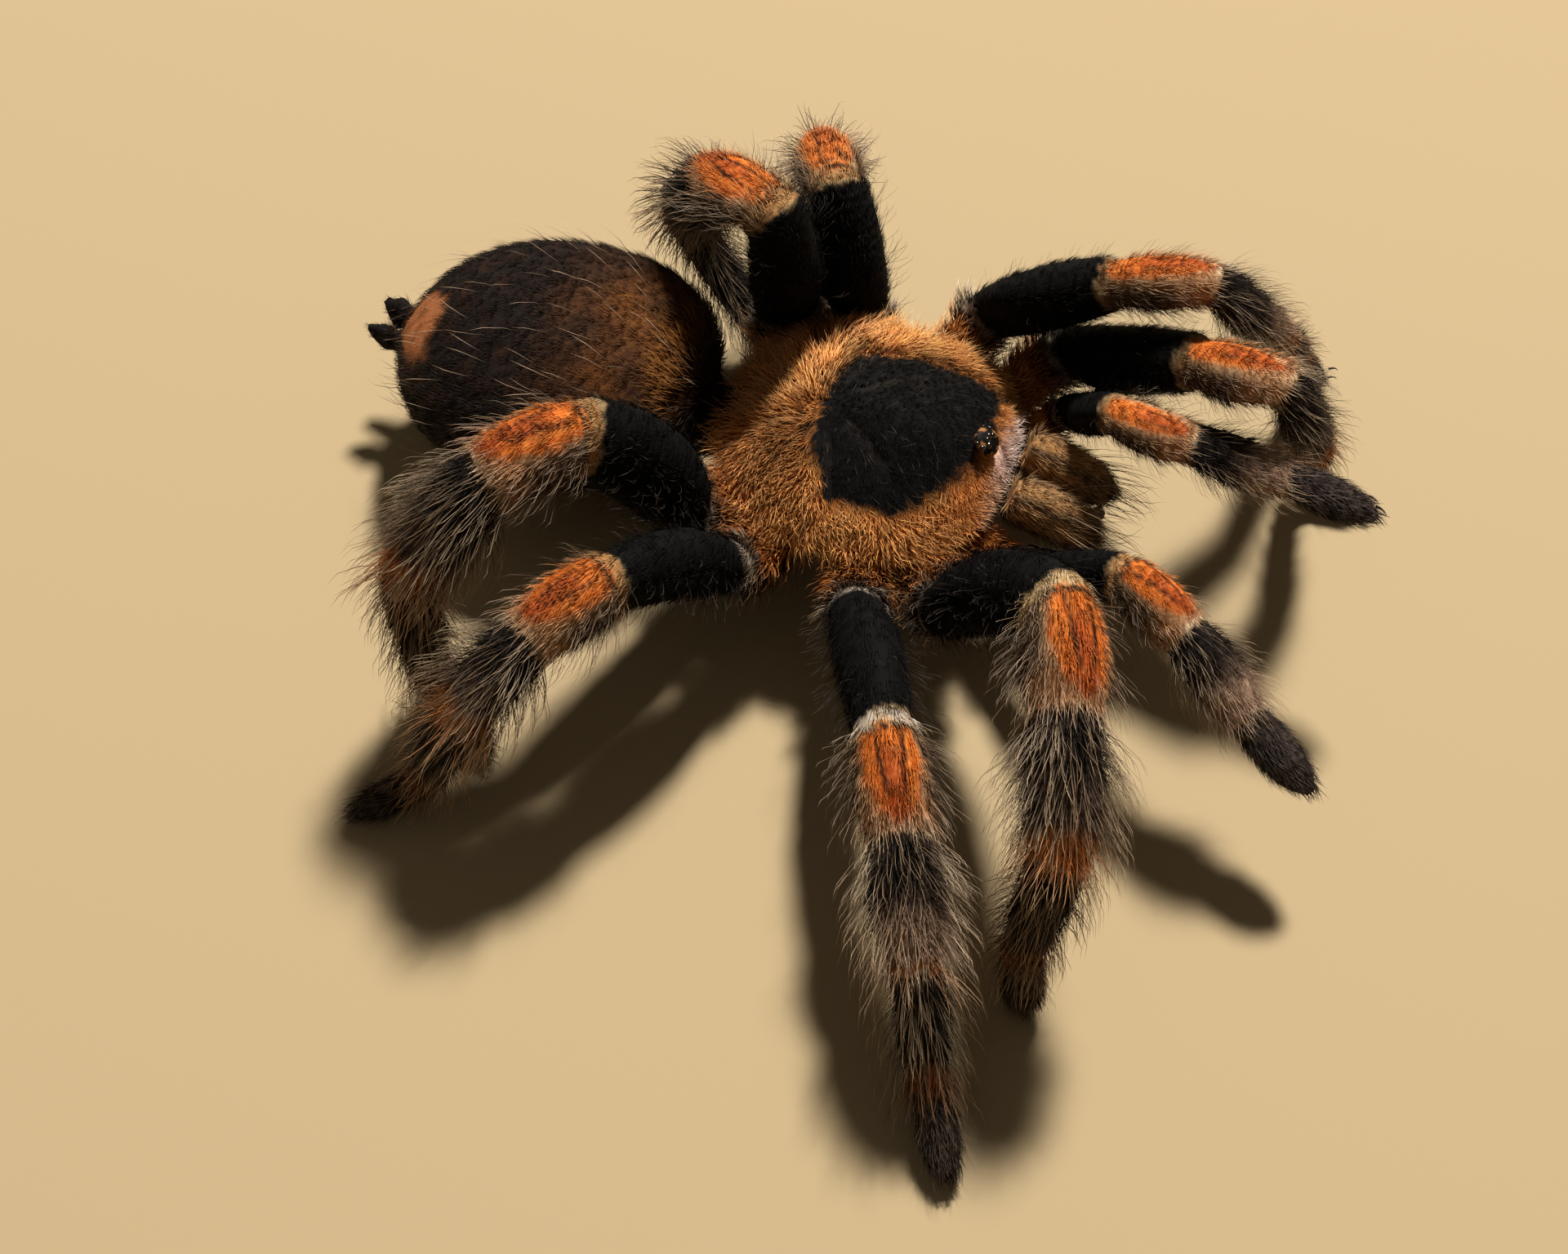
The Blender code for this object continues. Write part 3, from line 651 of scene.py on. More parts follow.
# %% Paint the chelicerae and the breastplate
CHELICERA_BASE = np.array((2.15, -10.9, 9.9))
CHELICERA_TIP = np.array((2.0, -18.4, 6.9))
JAW_STREAKS_PER_RADIAN = 11
for side, sign in (("left", 1), ("right", -1)):
    jaw = near_nodes(f"chelicera_{side}")
    base, tip = CHELICERA_BASE * (sign, 1, 1), CHELICERA_TIP * (sign, 1, 1)
    axis = unit(tip - base)
    rest = skin_points - base
    jaw_way = rest @ axis / np.linalg.norm(tip - base)
    jaw_around = np.arctan2(rest[:, 0] - axis[0] * (rest @ axis), rest[:, 2] - axis[2] * (rest @ axis))
    from_top = np.abs(jaw_around)
    jaw_streak = np.sin(jaw_around * JAW_STREAKS_PER_RADIAN + 1.5 * wobble(skin_points, 1.5))
    coat.paint(jaw,
               (1.0, "1c1512", "5c4a40"),
               (smooth_step(jaw_way, 0.95, 0.45) * smooth_step(from_top, 2.1, 1.3), "94683c", "ecc28c"),
               (smooth_step(jaw_streak, 0.1, 0.8) * 0.55, "3a2c22", "98806a"),
               (smooth_step(jaw_way, 1.0, 0.7) * band(from_top, 0.4, 0.6, 0.12) * 0.7, "3a2c24", "7c6a56"))
    coat.set(jaw, fur_length=1.3, fur_stand=0.24, bristle=2.2 * smooth_step(jaw_way, 0.3, 0.6),
             bristle_length=4.3, bristle_stand=0.4, bristle_tip="f6dcb8")
    lie[jaw] = axis
    unwrap[jaw] = np.stack((0.25 + 0.22 * sign + jaw_around / (2 * math.pi) * 0.4,
                            np.clip(jaw_way, 0, 1.2) * 0.6 + 0.3), axis=1)[jaw]
# The breastplate's map is its plan from above, squeezed into a low strip.
sternum = near_nodes("sternum", "carapace")
coat.paint(sternum, (1.0, "15110f", "2e241f"))
coat.set(sternum, fur_length=1.0, fur_stand=0.3)
unwrap[sternum] = (skin_points[sternum, :2] + (10, 12)) / (20, 90)
print("breastplate points:", int(sternum.sum()))

# %% [markdown]
# ## The shield
# The carapace is a hard plate, so it stays a piece of its own. Its solid gives the dome; two
# levels of subdivision smooth it, and then its points sink by the coat's depth and take the
# creases of the real one: the grooves that run from the middle towards the rim, four on each side,
# of which the front ones frame the head.

# %% Shape the shield
# Depth of the coat, place of the pit, and headings in degrees, half width and depth of the grooves.
SHIELD_DEPTH = 0.4
FOVEA = np.array((0.0, 3.2))
GROOVE_HEADINGS = (38, 72, 112, 148)
GROOVE_HALF_WIDTH = 0.55
GROOVE_DEPTH = 0.28


def subdivided(name, node):
    """A CAD node as a smooth mesh."""
    return shaped(name, as_mesh(name, [node_shape(node)]), ("SUBSURF", {"levels": 2, "render_levels": 2}))


shield_mesh = subdivided("shield", "carapace")
shield_points, shield_normals = points_of(shield_mesh), normals_of(shield_mesh)
from_pit = shield_points[:, :2] - FOVEA
reach = np.linalg.norm(from_pit, axis=1)
heading = np.degrees(np.arctan2(np.abs(from_pit[:, 0]), -from_pit[:, 1]))
groove = np.zeros(len(shield_points))
for degrees in GROOVE_HEADINGS:
    across_groove = np.radians(heading - degrees) * reach
    groove += (np.exp(-(across_groove / GROOVE_HALF_WIDTH) ** 2)
               * smooth_step(reach, 0.6, 2.5) * smooth_step(reach, 10.5, 7))
upper = smooth_step(shield_normals[:, 2], 0.1, 0.5)
sunk = (SHIELD_DEPTH * smooth_step(shield_normals[:, 2], -0.4, 0.3)
        + GROOVE_DEPTH * np.clip(groove, 0, 1) * upper)
shield_points = shield_points - shield_normals * sunk[:, None]
move_points(shield_mesh, shield_points)
shield_normals = normals_of(shield_mesh)
print("shield points:", len(shield_points))

# %% [markdown]
# Its hair lies outwards from the pit, in a tan collar that is widest at the back and on the right,
# round a black patch that reaches the eyes. The back of the collar is painted paler, as painted light.
# Behind the patch the collar is painted darker brown, as painted shade; at its left rear the tufts are
# long and reddish; and the front edge has a short pale fringe, painted duller on its right half as
# painted shade.

# %% Paint the shield
# Corners of the black patch, from the left rear round by the eyes, in mm.
PATCH_CORNERS = np.array(((5.2, 2.8), (6.6, -2.5), (6.2, -8.4), (2.0, -9.0), (-1.6, -8.4),
                          (-4.6, -6.9), (-7.2, -4.0), (-7.0, 1.0), (-4.2, 3.0), (0.0, 3.7)))
# Middle and radii of the painted shade behind the patch, of the bare skin at the eyes, and radii of the
# shield's rim.
SHADE_BEHIND_PATCH_MIDDLE, SHADE_BEHIND_PATCH_RADII = (-3.0, 5.0), (3.0, 2.2)
EYES_MIDDLE, EYES_RADII = (0, -8.9), (0.9, 0.8)
RIM_RADII = (10.2, 10.8)
# The shield's map is its plan, this many mm across.
MAP_ACROSS = 24


def within(places, corners):
    """Distance of flat places inside a closed outline; negative outside it."""
    nearest_edge, inside = np.full(len(places), 1e9), np.zeros(len(places), bool)
    for start, end in zip(corners, np.roll(corners, -1, axis=0)):
        edge = end - start
        share = np.clip((places - start) @ edge / edge.dot(edge), 0, 1)
        from_edge = np.linalg.norm(places - start - share[:, None] * edge, axis=1)
        nearest_edge = np.minimum(nearest_edge, from_edge)
        crosses = (start[1] > places[:, 1]) != (end[1] > places[:, 1])
        with np.errstate(divide="ignore", invalid="ignore"):
            meets = start[0] + (places[:, 1] - start[1]) / (end[1] - start[1]) * (end[0] - start[0])
        inside ^= crosses & (places[:, 0] < meets)
    return np.where(inside, nearest_edge, -nearest_edge)


plate = Coat(shield_points)
flat = shield_points[:, :2]
x, y = flat.T
shade_behind_patch = np.exp(-(((flat - SHADE_BEHIND_PATCH_MIDDLE) / SHADE_BEHIND_PATCH_RADII) ** 2).sum(axis=1))
patch_depth = (within(flat, PATCH_CORNERS) + 0.35 * wobble(shield_points, 1.4)
               + 0.25 * wobble(shield_points, 0.6, 1.0))
black_patch = smooth_step(patch_depth, -0.45, 0.35)
rear_left = smooth_step(x, 4.5, 6.5) * smooth_step(y, 1.5, 4)
# The front fringe is pale; its right half is painted duller, as painted shade.
pale_fringe_and_painted_shade = (smooth_step(y, -9.1, -9.9) * smooth_step(np.abs(x), 6.2, 4.6)
              * (0.45 + 0.55 * smooth_step(x, -3.5, 0)))
brow = smooth_step(y, -6.8, -8.2)
rim = smooth_step(np.linalg.norm(flat / RIM_RADII, axis=1), 0.86, 0.97)
plate.paint(np.ones(len(flat)),
            (1.0, "c47a38", "ffcc80"),
            (smooth_step(wobble(shield_points, 2.4), -0.1, 0.7) * 0.5, "b8622a", "ffa650"),
            # Painted light: the back of the shield, which faces away from the key light, is painted paler.
            (smooth_step(y, 3, 9) * 0.8, "d8803a", "ffc884"),
            # Painted shade: the dip behind the black patch is painted darker brown.
            (shade_behind_patch * 0.75, "5a3418", "9c602c"),
            (black_patch, "040303", "0d0a09"),
            (black_patch * smooth_step(wobble(shield_points, 1.7, 2.0), 0.2, 0.8) * 0.5, "0c0807", "241a14"),
            (rear_left * 0.6, "7a4024", "d88a60"),
            (pale_fringe_and_painted_shade, "c4a294", "fff2e6"))
plate.set(slice(None), fur=np.where(shield_normals[:, 2] > -0.2, 1.0, 0.0),
          fur_length=1.9 + 0.8 * rear_left - 1.1 * black_patch - 0.6 * brow * (1 - black_patch),
          fur_stand=0.4 - 0.14 * black_patch,
          bristle=(3.6 + 2.4 * rim) * (1 - black_patch) * (1 - brow) + 1.0 * black_patch,
          bristle_length=2.8 - 1.2 * black_patch, bristle_stand=0.42 - 0.1 * rim, bristle_tip="ffcf8c")
plate.set(black_patch > 0.6, bristle_tip="8a7864")
plate.set(pale_fringe_and_painted_shade > 0.5, fur_stand=0.55, fur_length=1.2)
plate.set(np.linalg.norm((flat - EYES_MIDDLE) / EYES_RADII, axis=1) < 1, fur=0.0, bristle=0.0)
outwards = from_pit / np.maximum(reach, 0.1)[:, None]
swirl = 0.75 * wobble(shield_points, 3.4, 0.7)[:, None] + 0.4 * wobble(shield_points, 1.5, 2.2)[:, None]
shield_lie = np.column_stack((outwards + swirl * outwards[:, ::-1] * (-1, 1), np.full(len(flat), -0.2)))
shield_unwrap = flat / MAP_ACROSS + 0.5
print("points under the black patch:", int((black_patch > 0.5).sum()))

# %% [markdown]
# ## Eyes, fangs and claws
# Eight small eyes sit on one low mound: two round ones on its top and three at each side. Fangs and
# claws are curved, pointed horn. All are rigid, so they stay separate pieces. The mound and the
# fangs are their solids made smooth, and a ray from outside finds where each eye sits on the mound.

# %% Shape the eyes and the fangs
# Direction of each eye of the left side from the mound's middle, and its radius in mm.
LEFT_EYES = ((0.42, -0.1, 0.95, 0.3), (1.05, -0.62, 0.42, 0.26), (1.2, 0.12, 0.4, 0.24),
             (0.85, 0.55, 0.55, 0.17))
# Share of its radius by which an eye sinks into the mound.
EYE_SUNK = 0.35
# The bare mound is this share of its solid, and short fur fills the rest.
MOUND_SHARE = (0.84, 0.86, 0.74)
mound_mesh = subdivided("eye_mound", "eye_tubercle")
mound_points = points_of(mound_mesh)
mound_foot = mound_points.mean(axis=0) * (1, 1, 0) + (0, 0, mound_points[:, 2].min())
mound_points = mound_foot + (mound_points - mound_foot) * MOUND_SHARE
move_points(mound_mesh, mound_points)
mound_tree = BVHTree.FromPolygons([Vector(point) for point in mound_points],
                                  [tuple(face.vertices) for face in mound_mesh.polygons])
mound_middle = Vector((mound_points.min(axis=0) + mound_points.max(axis=0)) / 2)
eyes = bmesh.new()
for sign in (1, -1):
    for x, y, z, radius in LEFT_EYES:
        aim = Vector((x * sign, y, z))
        surface = mound_tree.ray_cast(mound_middle + aim * 4, -aim.normalized())[0]
        bmesh.ops.create_icosphere(eyes, subdivisions=3, radius=radius,
                                   matrix=Matrix.Translation(surface - aim.normalized() * radius * EYE_SUNK))
eyes_mesh = as_mesh("eyes", [eyes])
fang_meshes = {side: subdivided("fangs", f"fang_{side}") for side in ("left", "right")}
print("eyes:", 2 * len(LEFT_EYES), "fangs:", len(fang_meshes))

# %% Shape the claws
CLAW_LENGTH = 0.9
CLAW_RADIUS = 0.11
CLAW_RINGS = 6
CLAW_SIDES = 6
# A claw's bend in radians, and how much of its radius it loses by the tip.
CLAW_BEND = 1.3
CLAW_TAPER = 0.9
# Root of a claw from the end of the foot: back, aside and up, in mm.
CLAW_ROOT = (0.9, 0.35, 0.55)


def hook(shape, start, ahead, down):
    """A curved claw whose rings narrow to a point."""
    aside = unit(np.cross(ahead, down))
    rings = []
    for step in range(CLAW_RINGS):
        share = step / (CLAW_RINGS - 1)
        bend = share * CLAW_BEND
        centre = start + CLAW_LENGTH * (ahead * math.sin(bend) + down * (1 - math.cos(bend)))
        lift = np.cross(unit(ahead * math.cos(bend) + down * math.sin(bend)), aside)
        radius = CLAW_RADIUS * (1 - share * CLAW_TAPER)
        turns = [side * 2 * math.pi / CLAW_SIDES for side in range(CLAW_SIDES)]
        rings.append([shape.verts.new(centre + radius * (aside * math.cos(turn) + lift * math.sin(turn)))
                      for turn in turns])
    for near, far in zip(rings, rings[1:]):
        for i in range(CLAW_SIDES):
            shape.faces.new((near[i], near[i - 1], far[i - 1], far[i]))
    shape.faces.new(rings[0])
    shape.faces.new(rings[-1][::-1])


claws = bmesh.new()
back, beside, up = CLAW_ROOT
for chain in chains.values():
    ahead, aside = chain["axes"][-1], chain["sides"][-1]
    for sign in (-1, 1):
        start = chain["joints"][-1] - ahead * back + aside * beside * sign + (0, 0, up)
        hook(claws, start, unit(ahead * (1, 1, 0)), np.array((0.0, 0.0, -1.0)))
bmesh.ops.recalc_face_normals(claws, faces=claws.faces)
claws_mesh = as_mesh("claws", [claws])
print("claws:", 2 * len(chains))

# %% [markdown]
# ## Finishes
# Tarantula hair is chitin: dark at the root, pale and slightly glossy at the tip, and each hair a
# little lighter or darker than its neighbour. The material reads the two markings that the hair
# carries from the skin and mixes them along its length. The skin shows between the hairs, so it
# has the same markings, under a fine fibrous bump. Fangs and claws are polished black horn, the eye
# mound is matt with tan blots, and the eyes are wet lenses.

# %% Make the materials of hair and skin
def add(tree, kind, inputs=None, **settings):
    """Adds a node with its settings, and links or sets its inputs."""
    node = tree.nodes.new(kind)
    for name, value in settings.items():
        setattr(node, name, value)
    for name, value in (inputs or {}).items():
        if isinstance(value, bpy.types.NodeSocket):
            tree.links.new(value, node.inputs[name])
        else:
            node.inputs[name].default_value = value
    return node


def new_finish(name, roughness, specular, clearcoat=0.0):
    """A material with its shader, and the numbers that are the same all over it."""
    finish = bpy.data.materials.new(name)
    finish.use_nodes = True
    shader = finish.node_tree.nodes["Principled BSDF"]
    for socket, value in (("Roughness", roughness), ("Specular IOR Level", specular),
                          ("Coat Weight", clearcoat)):
        shader.inputs[socket].default_value = value
    return finish, finish.node_tree, shader


# Chitin in thin hairs has a soft, weak gloss; how fast the tip's colour takes over is PALING.
PALING = 1.5
hair_finish, tree, shader = new_finish("chitin_hair", 0.6, 0.17)
read = {name: add(tree, "ShaderNodeAttribute", attribute_name=name).outputs
        for name in ("marking", "tip_marking", "along", "shade")}
paling = add(tree, "ShaderNodeMath", {0: read["along"]["Fac"], 1: PALING}, operation="POWER")
blend = add(tree, "ShaderNodeMix", {0: paling.outputs[0], 6: read["marking"]["Color"],
                                    7: read["tip_marking"]["Color"]}, data_type="RGBA")
tone = add(tree, "ShaderNodeVectorMath", {0: blend.outputs[2], "Scale": read["shade"]["Fac"]},
           operation="SCALE")
tree.links.new(tone.outputs[0], shader.inputs["Base Color"])

# Down on the skin scatters light and has almost no gloss. Its fibres are 0.05 mm across on the
# animal and drawn at 0.12 mm, in bundles of four, so that they show.
FIBRE = 0.12 * MM
FIBRE_RELIEF = 0.1 * MM
skin_finish, tree, shader = new_finish("velvet_skin", 0.85, 0.12)
place = add(tree, "ShaderNodeTexCoord")
fibres = add(tree, "ShaderNodeTexNoise", {"Vector": place.outputs["Object"], "Scale": 1 / (FIBRE * 4),
                                          "Detail": 3.0, "Roughness": 0.7})
read = {name: add(tree, "ShaderNodeAttribute", attribute_name=name).outputs["Color"]
        for name in ("marking", "tip_marking")}
fleck = add(tree, "ShaderNodeMapRange", {"Value": fibres.outputs[0], "From Min": 0.45, "From Max": 0.75,
                                         "To Max": 0.45})
blend = add(tree, "ShaderNodeMix", {0: fleck.outputs[0], 6: read["marking"], 7: read["tip_marking"]},
            data_type="RGBA")
tree.links.new(blend.outputs[2], shader.inputs["Base Color"])
bump = add(tree, "ShaderNodeBump", {"Height": fibres.outputs[0], "Strength": 0.6, "Distance": FIBRE_RELIEF})
tree.links.new(bump.outputs[0], shader.inputs["Normal"])
print("finishes:", hair_finish.name, skin_finish.name)

# %% Make the materials of horn and eyes
# Blots of the horn are about this large.
HORN_BLOTS = 0.6 * MM


def horn(name, roughness, specular, dark, pale, clearcoat=0.0, start=0.0, end=1.0):
    """Mottled chitin without hair: dark, and pale where the mottle passes from start to end."""
    finish, tree, shader = new_finish(name, roughness, specular, clearcoat)
    place = add(tree, "ShaderNodeTexCoord")
    mottle = add(tree, "ShaderNodeTexNoise", {"Vector": place.outputs["Object"], "Scale": 1 / HORN_BLOTS,
                                              "Detail": 4.0})
    share = add(tree, "ShaderNodeMapRange", {"Value": mottle.outputs[0], "From Min": start, "From Max": end})
    ramp = add(tree, "ShaderNodeMix", {0: share.outputs[0], 6: (*linear(dark), 1), 7: (*linear(pale), 1)},
               data_type="RGBA")
    tree.links.new(ramp.outputs[2], shader.inputs["Base Color"])
    return finish


# Horn of fangs and claws is worn smooth, so it has sharp highlights; the mound's is dull between
# its blots, and a lens is wet, so it has the sharpest.
horn_finish = horn("black_horn", 0.22, 0.5, "040303", "1c130e")
mound_finish = horn("matt_horn", 0.62, 0.12, "060403", "94602f", start=0.5, end=0.64)
eye_finish = horn("eye_lens", 0.05, 0.6, "050405", "1c120c", clearcoat=1.0)
print("finishes:", horn_finish.name, mound_finish.name, eye_finish.name)

# %% [markdown]
# ## The coat
# Hair repeats by the thousand, so it is a job for Geometry Nodes: scatter points on the skin by
# its own density, turn a small tuft to the lie of the hair at each, and stretch it by the length
# written there. The tufts are real mesh in the end. One tree grows both layers: short fur in tufts
# of three hairs, and long bristles one by one. A hair has three sides and a few bends, because it
# is drawn thousands of times.

# %% Model the tufts
# Each hair: turn from the lie in degrees, share of the full length, offset of its root and curl.
FUR_TUFTS = (((-16, 1.0, -0.1, 0.12), (2, 0.8, 0.02, -0.1), (17, 0.92, 0.12, 0.0)),
             ((-11, 0.85, -0.12, 0.0), (5, 1.0, 0.0, 0.14), (21, 0.75, 0.1, -0.16)),
             ((-22, 0.8, -0.08, 0.1), (-3, 0.95, 0.03, -0.12), (12, 1.0, 0.13, 0.1)))
BRISTLE_TUFTS = (((0, 1.0, 0.0, 0.16),), ((5, 1.0, 0.0, -0.22),), ((-6, 0.95, 0.0, 0.08),),
                 ((2, 1.0, 0.0, -0.06),))
# Where a hair has its rings, and its radius at the root, as shares of its length.
FUR_BENDS, FUR_GIRTH = (0.0, 0.45), 0.025
BRISTLE_BENDS, BRISTLE_GIRTH = (0.0, 0.3, 0.65), 0.0078
# A hair starts this far below the skin, and has lost this share of its girth by the tip.
ROOTED = 0.04
HAIR_TAPER = 0.45


def tuft_collection(name, tufts, bends, girth):
    """A collection of tufts one unit long that lie along x and rise along z."""
    collection = bpy.data.collections.new(name)
    for number, hairs in enumerate(tufts):
        corners, faces, along, patch = [], [], [], []
        for hair, (turn, length, offset, curl) in enumerate(hairs):
            turn = math.radians(turn)
            ahead = Vector((math.cos(turn), math.sin(turn), 0))
            aside = Vector((-math.sin(turn), math.cos(turn), 0))
            first = len(corners)
            for share in (*bends, 1.0):
                rise = Vector((0, 0, 1 - (1 - share) ** 2))
                centre = (Vector((0, offset, -ROOTED))
                          + (ahead * share + aside * curl * share ** 2 + rise) * length)
                if share == 1.0:
                    corners.append(centre)
                    along.append(1.0)
                    continue
                slope = (ahead + Vector((0, 0, 2 * (1 - share)))).normalized()
                lift = slope.cross(aside)
                radius = girth * (1 - HAIR_TAPER * share)
                for third in range(3):
                    angle = 2 * math.pi * third / 3 + math.pi / 2
                    corners.append(centre + (aside * math.cos(angle) + lift * math.sin(angle)) * radius)
                    along.append(share)
            patch.extend((hair / max(len(hairs) - 1, 1) - 0.5, share - 0.5) for share in along[first:])
            rings = len(bends)
            faces.append((first, first + 1, first + 2))
            for ring in range(rings - 1):
                low = first + 3 * ring
                for i in range(3):
                    j = (i + 1) % 3
                    faces.append((low + j, low + i, low + 3 + i, low + 3 + j))
            top = first + 3 * (rings - 1)
            faces.extend((top + (i + 1) % 3, top + i, top + 3) for i in range(3))
        mesh = bpy.data.meshes.new(f"{name}_{number}")
        mesh.from_pydata(corners, [], faces)
        shape = bmesh.new()
        shape.from_mesh(mesh)
        bmesh.ops.triangulate(shape, faces=shape.faces)
        bmesh.ops.recalc_face_normals(shape, faces=shape.faces)
        shape.to_mesh(mesh)
        shape.free()
        mesh.shade_smooth()
        mesh.attributes.new("along", "FLOAT", "POINT").data.foreach_set("value", along)
        mesh.attributes.new("patch", "FLOAT2", "POINT").data.foreach_set("vector", np.array(patch).ravel())
        collection.objects.link(bpy.data.objects.new(mesh.name, mesh))
        print(mesh.name, "triangles:", len(mesh.polygons))
    return collection


fur_tufts = tuft_collection("fur_tuft", FUR_TUFTS, FUR_BENDS, FUR_GIRTH)
bristle_tufts = tuft_collection("bristle", BRISTLE_TUFTS, BRISTLE_BENDS, BRISTLE_GIRTH)

# %% [markdown]
# The tree reads what is written on the skin. It turns each tuft so that z is the skin's normal and x
# the lie, a little astray, and it scales the tuft by length and stand. The flatter a hair lies, the
# further it reaches. Each tuft keeps the colours of its root, and a small patch of the skin's map.

# %% Build the tree that grows hair
MATH, VECTORS = "ShaderNodeMath", "ShaderNodeVectorMath"
WRITE, CHANCE = "GeometryNodeStoreNamedAttribute", "FunctionNodeRandomValue"
# Size of a tuft's patch in the map, and the least that a raised hair still reaches along, squared.
PATCH_ACROSS = 0.003
LEAST_REACH = 0.2
coat_tree = bpy.data.node_groups.new("grow_hair", "GeometryNodeTree")
coat_tree.is_modifier = True
for name, kind in (("Skin", "Geometry"), ("Tufts", "Collection"), ("Kinds of tuft", "Int"),
                   ("Tufts per mm2", "Float"), ("Stray", "Float"), ("Seed", "Int"), ("Finish", "Material")):
    coat_tree.interface.new_socket(name, in_out="INPUT", socket_type=f"NodeSocket{kind}")
coat_tree.interface.new_socket("Coat", in_out="OUTPUT", socket_type="NodeSocketGeometry")
given = add(coat_tree, "NodeGroupInput").outputs
written = {name: add(coat_tree, "GeometryNodeInputNamedAttribute", {"Name": name}, data_type=kind).outputs[0]
           for name, kind in (("density", "FLOAT"), ("length", "FLOAT"), ("stand", "FLOAT"),
                              ("lie", "FLOAT_VECTOR"), ("out", "FLOAT_VECTOR"), ("patch", "FLOAT_VECTOR"),
                              ("unwrap", "FLOAT_VECTOR"))}
# What differs by chance from tuft to tuft, with its lowest and highest value.
other_way = add(coat_tree, MATH, {0: given["Stray"], 1: -1.0}, operation="MULTIPLY").outputs[0]
by_chance = {}
for turn, (name, low, high) in enumerate((("swing", other_way, given["Stray"]), ("length", 0.7, 1.2),
                                          ("stand", 0.6, 1.4), ("shade", 0.62, 1.36)), start=1):
    seed = add(coat_tree, MATH, {0: given["Seed"], 1: float(turn)}, operation="ADD").outputs[0]
    by_chance[name] = add(coat_tree, CHANCE, {2: low, 3: high, "Seed": seed}, data_type="FLOAT").outputs[1]
density, length, stand = (
    add(coat_tree, MATH, {0: written[name], 1: factor}, operation="MULTIPLY").outputs[0]
    for name, factor in (("density", given["Tufts per mm2"]), ("length", by_chance["length"]),
                         ("stand", by_chance["stand"])))
print("numbers read from the skin:", list(written), "by chance:", list(by_chance))

# %% Scatter, turn and size the tufts
points = add(coat_tree, "GeometryNodeDistributePointsOnFaces",
             {"Mesh": given["Skin"], "Density": density, "Seed": given["Seed"]}).outputs
noted = add(coat_tree, WRITE, {"Geometry": points["Points"], "Name": "out", "Value": points["Normal"]},
            data_type="FLOAT_VECTOR", domain="POINT")
aside = add(coat_tree, VECTORS, {0: written["out"], 1: written["lie"]}, operation="CROSS_PRODUCT")
swing = add(coat_tree, VECTORS, {0: aside.outputs[0], "Scale": by_chance["swing"]}, operation="SCALE")
ahead = add(coat_tree, VECTORS, {0: written["lie"], 1: swing.outputs[0]}, operation="ADD")
turned = add(coat_tree, "FunctionNodeAxesToRotation",
             {"Primary Axis": written["out"], "Secondary Axis": ahead.outputs[0]},
             primary_axis="Z", secondary_axis="X")
squared = add(coat_tree, MATH, {0: stand, 1: stand}, operation="MULTIPLY")
left_over = add(coat_tree, MATH, {0: 1.0, 1: squared.outputs[0]}, operation="SUBTRACT")
at_least = add(coat_tree, MATH, {0: left_over.outputs[0], 1: LEAST_REACH}, operation="MAXIMUM")
level = add(coat_tree, MATH, {0: at_least.outputs[0]}, operation="SQRT").outputs[0]
along, upright = (add(coat_tree, MATH, {0: length, 1: share}, operation="MULTIPLY").outputs[0]
                  for share in (level, stand))
size = add(coat_tree, "ShaderNodeCombineXYZ", {"X": along, "Y": length, "Z": upright})
pick = add(coat_tree, CHANCE, {4: 0, 5: given["Kinds of tuft"], "Seed": given["Seed"]}, data_type="INT")
shown = add(coat_tree, "GeometryNodeCollectionInfo",
            {"Collection": given["Tufts"], "Separate Children": True, "Reset Children": True})
tufts = add(coat_tree, "GeometryNodeInstanceOnPoints",
            {"Points": noted.outputs[0], "Instance": shown.outputs[0], "Pick Instance": True,
             "Instance Index": pick.outputs[2], "Rotation": turned.outputs[0], "Scale": size.outputs[0]})
shaded = add(coat_tree, WRITE, {"Geometry": tufts.outputs[0], "Name": "shade", "Value": by_chance["shade"]},
             data_type="FLOAT", domain="INSTANCE")
real = add(coat_tree, "GeometryNodeRealizeInstances", {"Geometry": shaded.outputs[0]})
patch_place = add(coat_tree, VECTORS, {0: written["patch"], "Scale": PATCH_ACROSS}, operation="SCALE")
unwrapped = add(coat_tree, VECTORS, {0: written["unwrap"], 1: patch_place.outputs[0]}, operation="ADD")
mapped = add(coat_tree, WRITE, {"Geometry": real.outputs[0], "Name": "OFBake", "Value": unwrapped.outputs[0]},
             data_type="FLOAT2", domain="CORNER")
finished = add(coat_tree, "GeometryNodeSetMaterial",
               {"Geometry": mapped.outputs[0], "Material": given["Finish"]})
add(coat_tree, "NodeGroupOutput", {"Coat": finished.outputs[0]})
print("nodes in the tree:", len(coat_tree.nodes))

# %% [markdown]
# Each limb, the shield, the abdomen and the jaws get a coat of their own, so that none grows too
# large. A patch of skin carries the numbers for one layer at a time, and the two layers are joined.

# %% Cut the patches that hair grows on
def write(mesh, title, kind, field, values, domain="POINT"):
    """Writes an attribute on a mesh."""
    mesh.attributes.new(title, kind, domain).data.foreach_set(field, values.astype(np.float32).ravel())


def write_markings(mesh, under, over):
    """Writes the colours of root and tip on the mesh's points."""
    for title, values in (("marking", under), ("tip_marking", over)):
        write(mesh, title, "FLOAT_COLOR", "color", np.column_stack((values, np.ones(len(values)))))


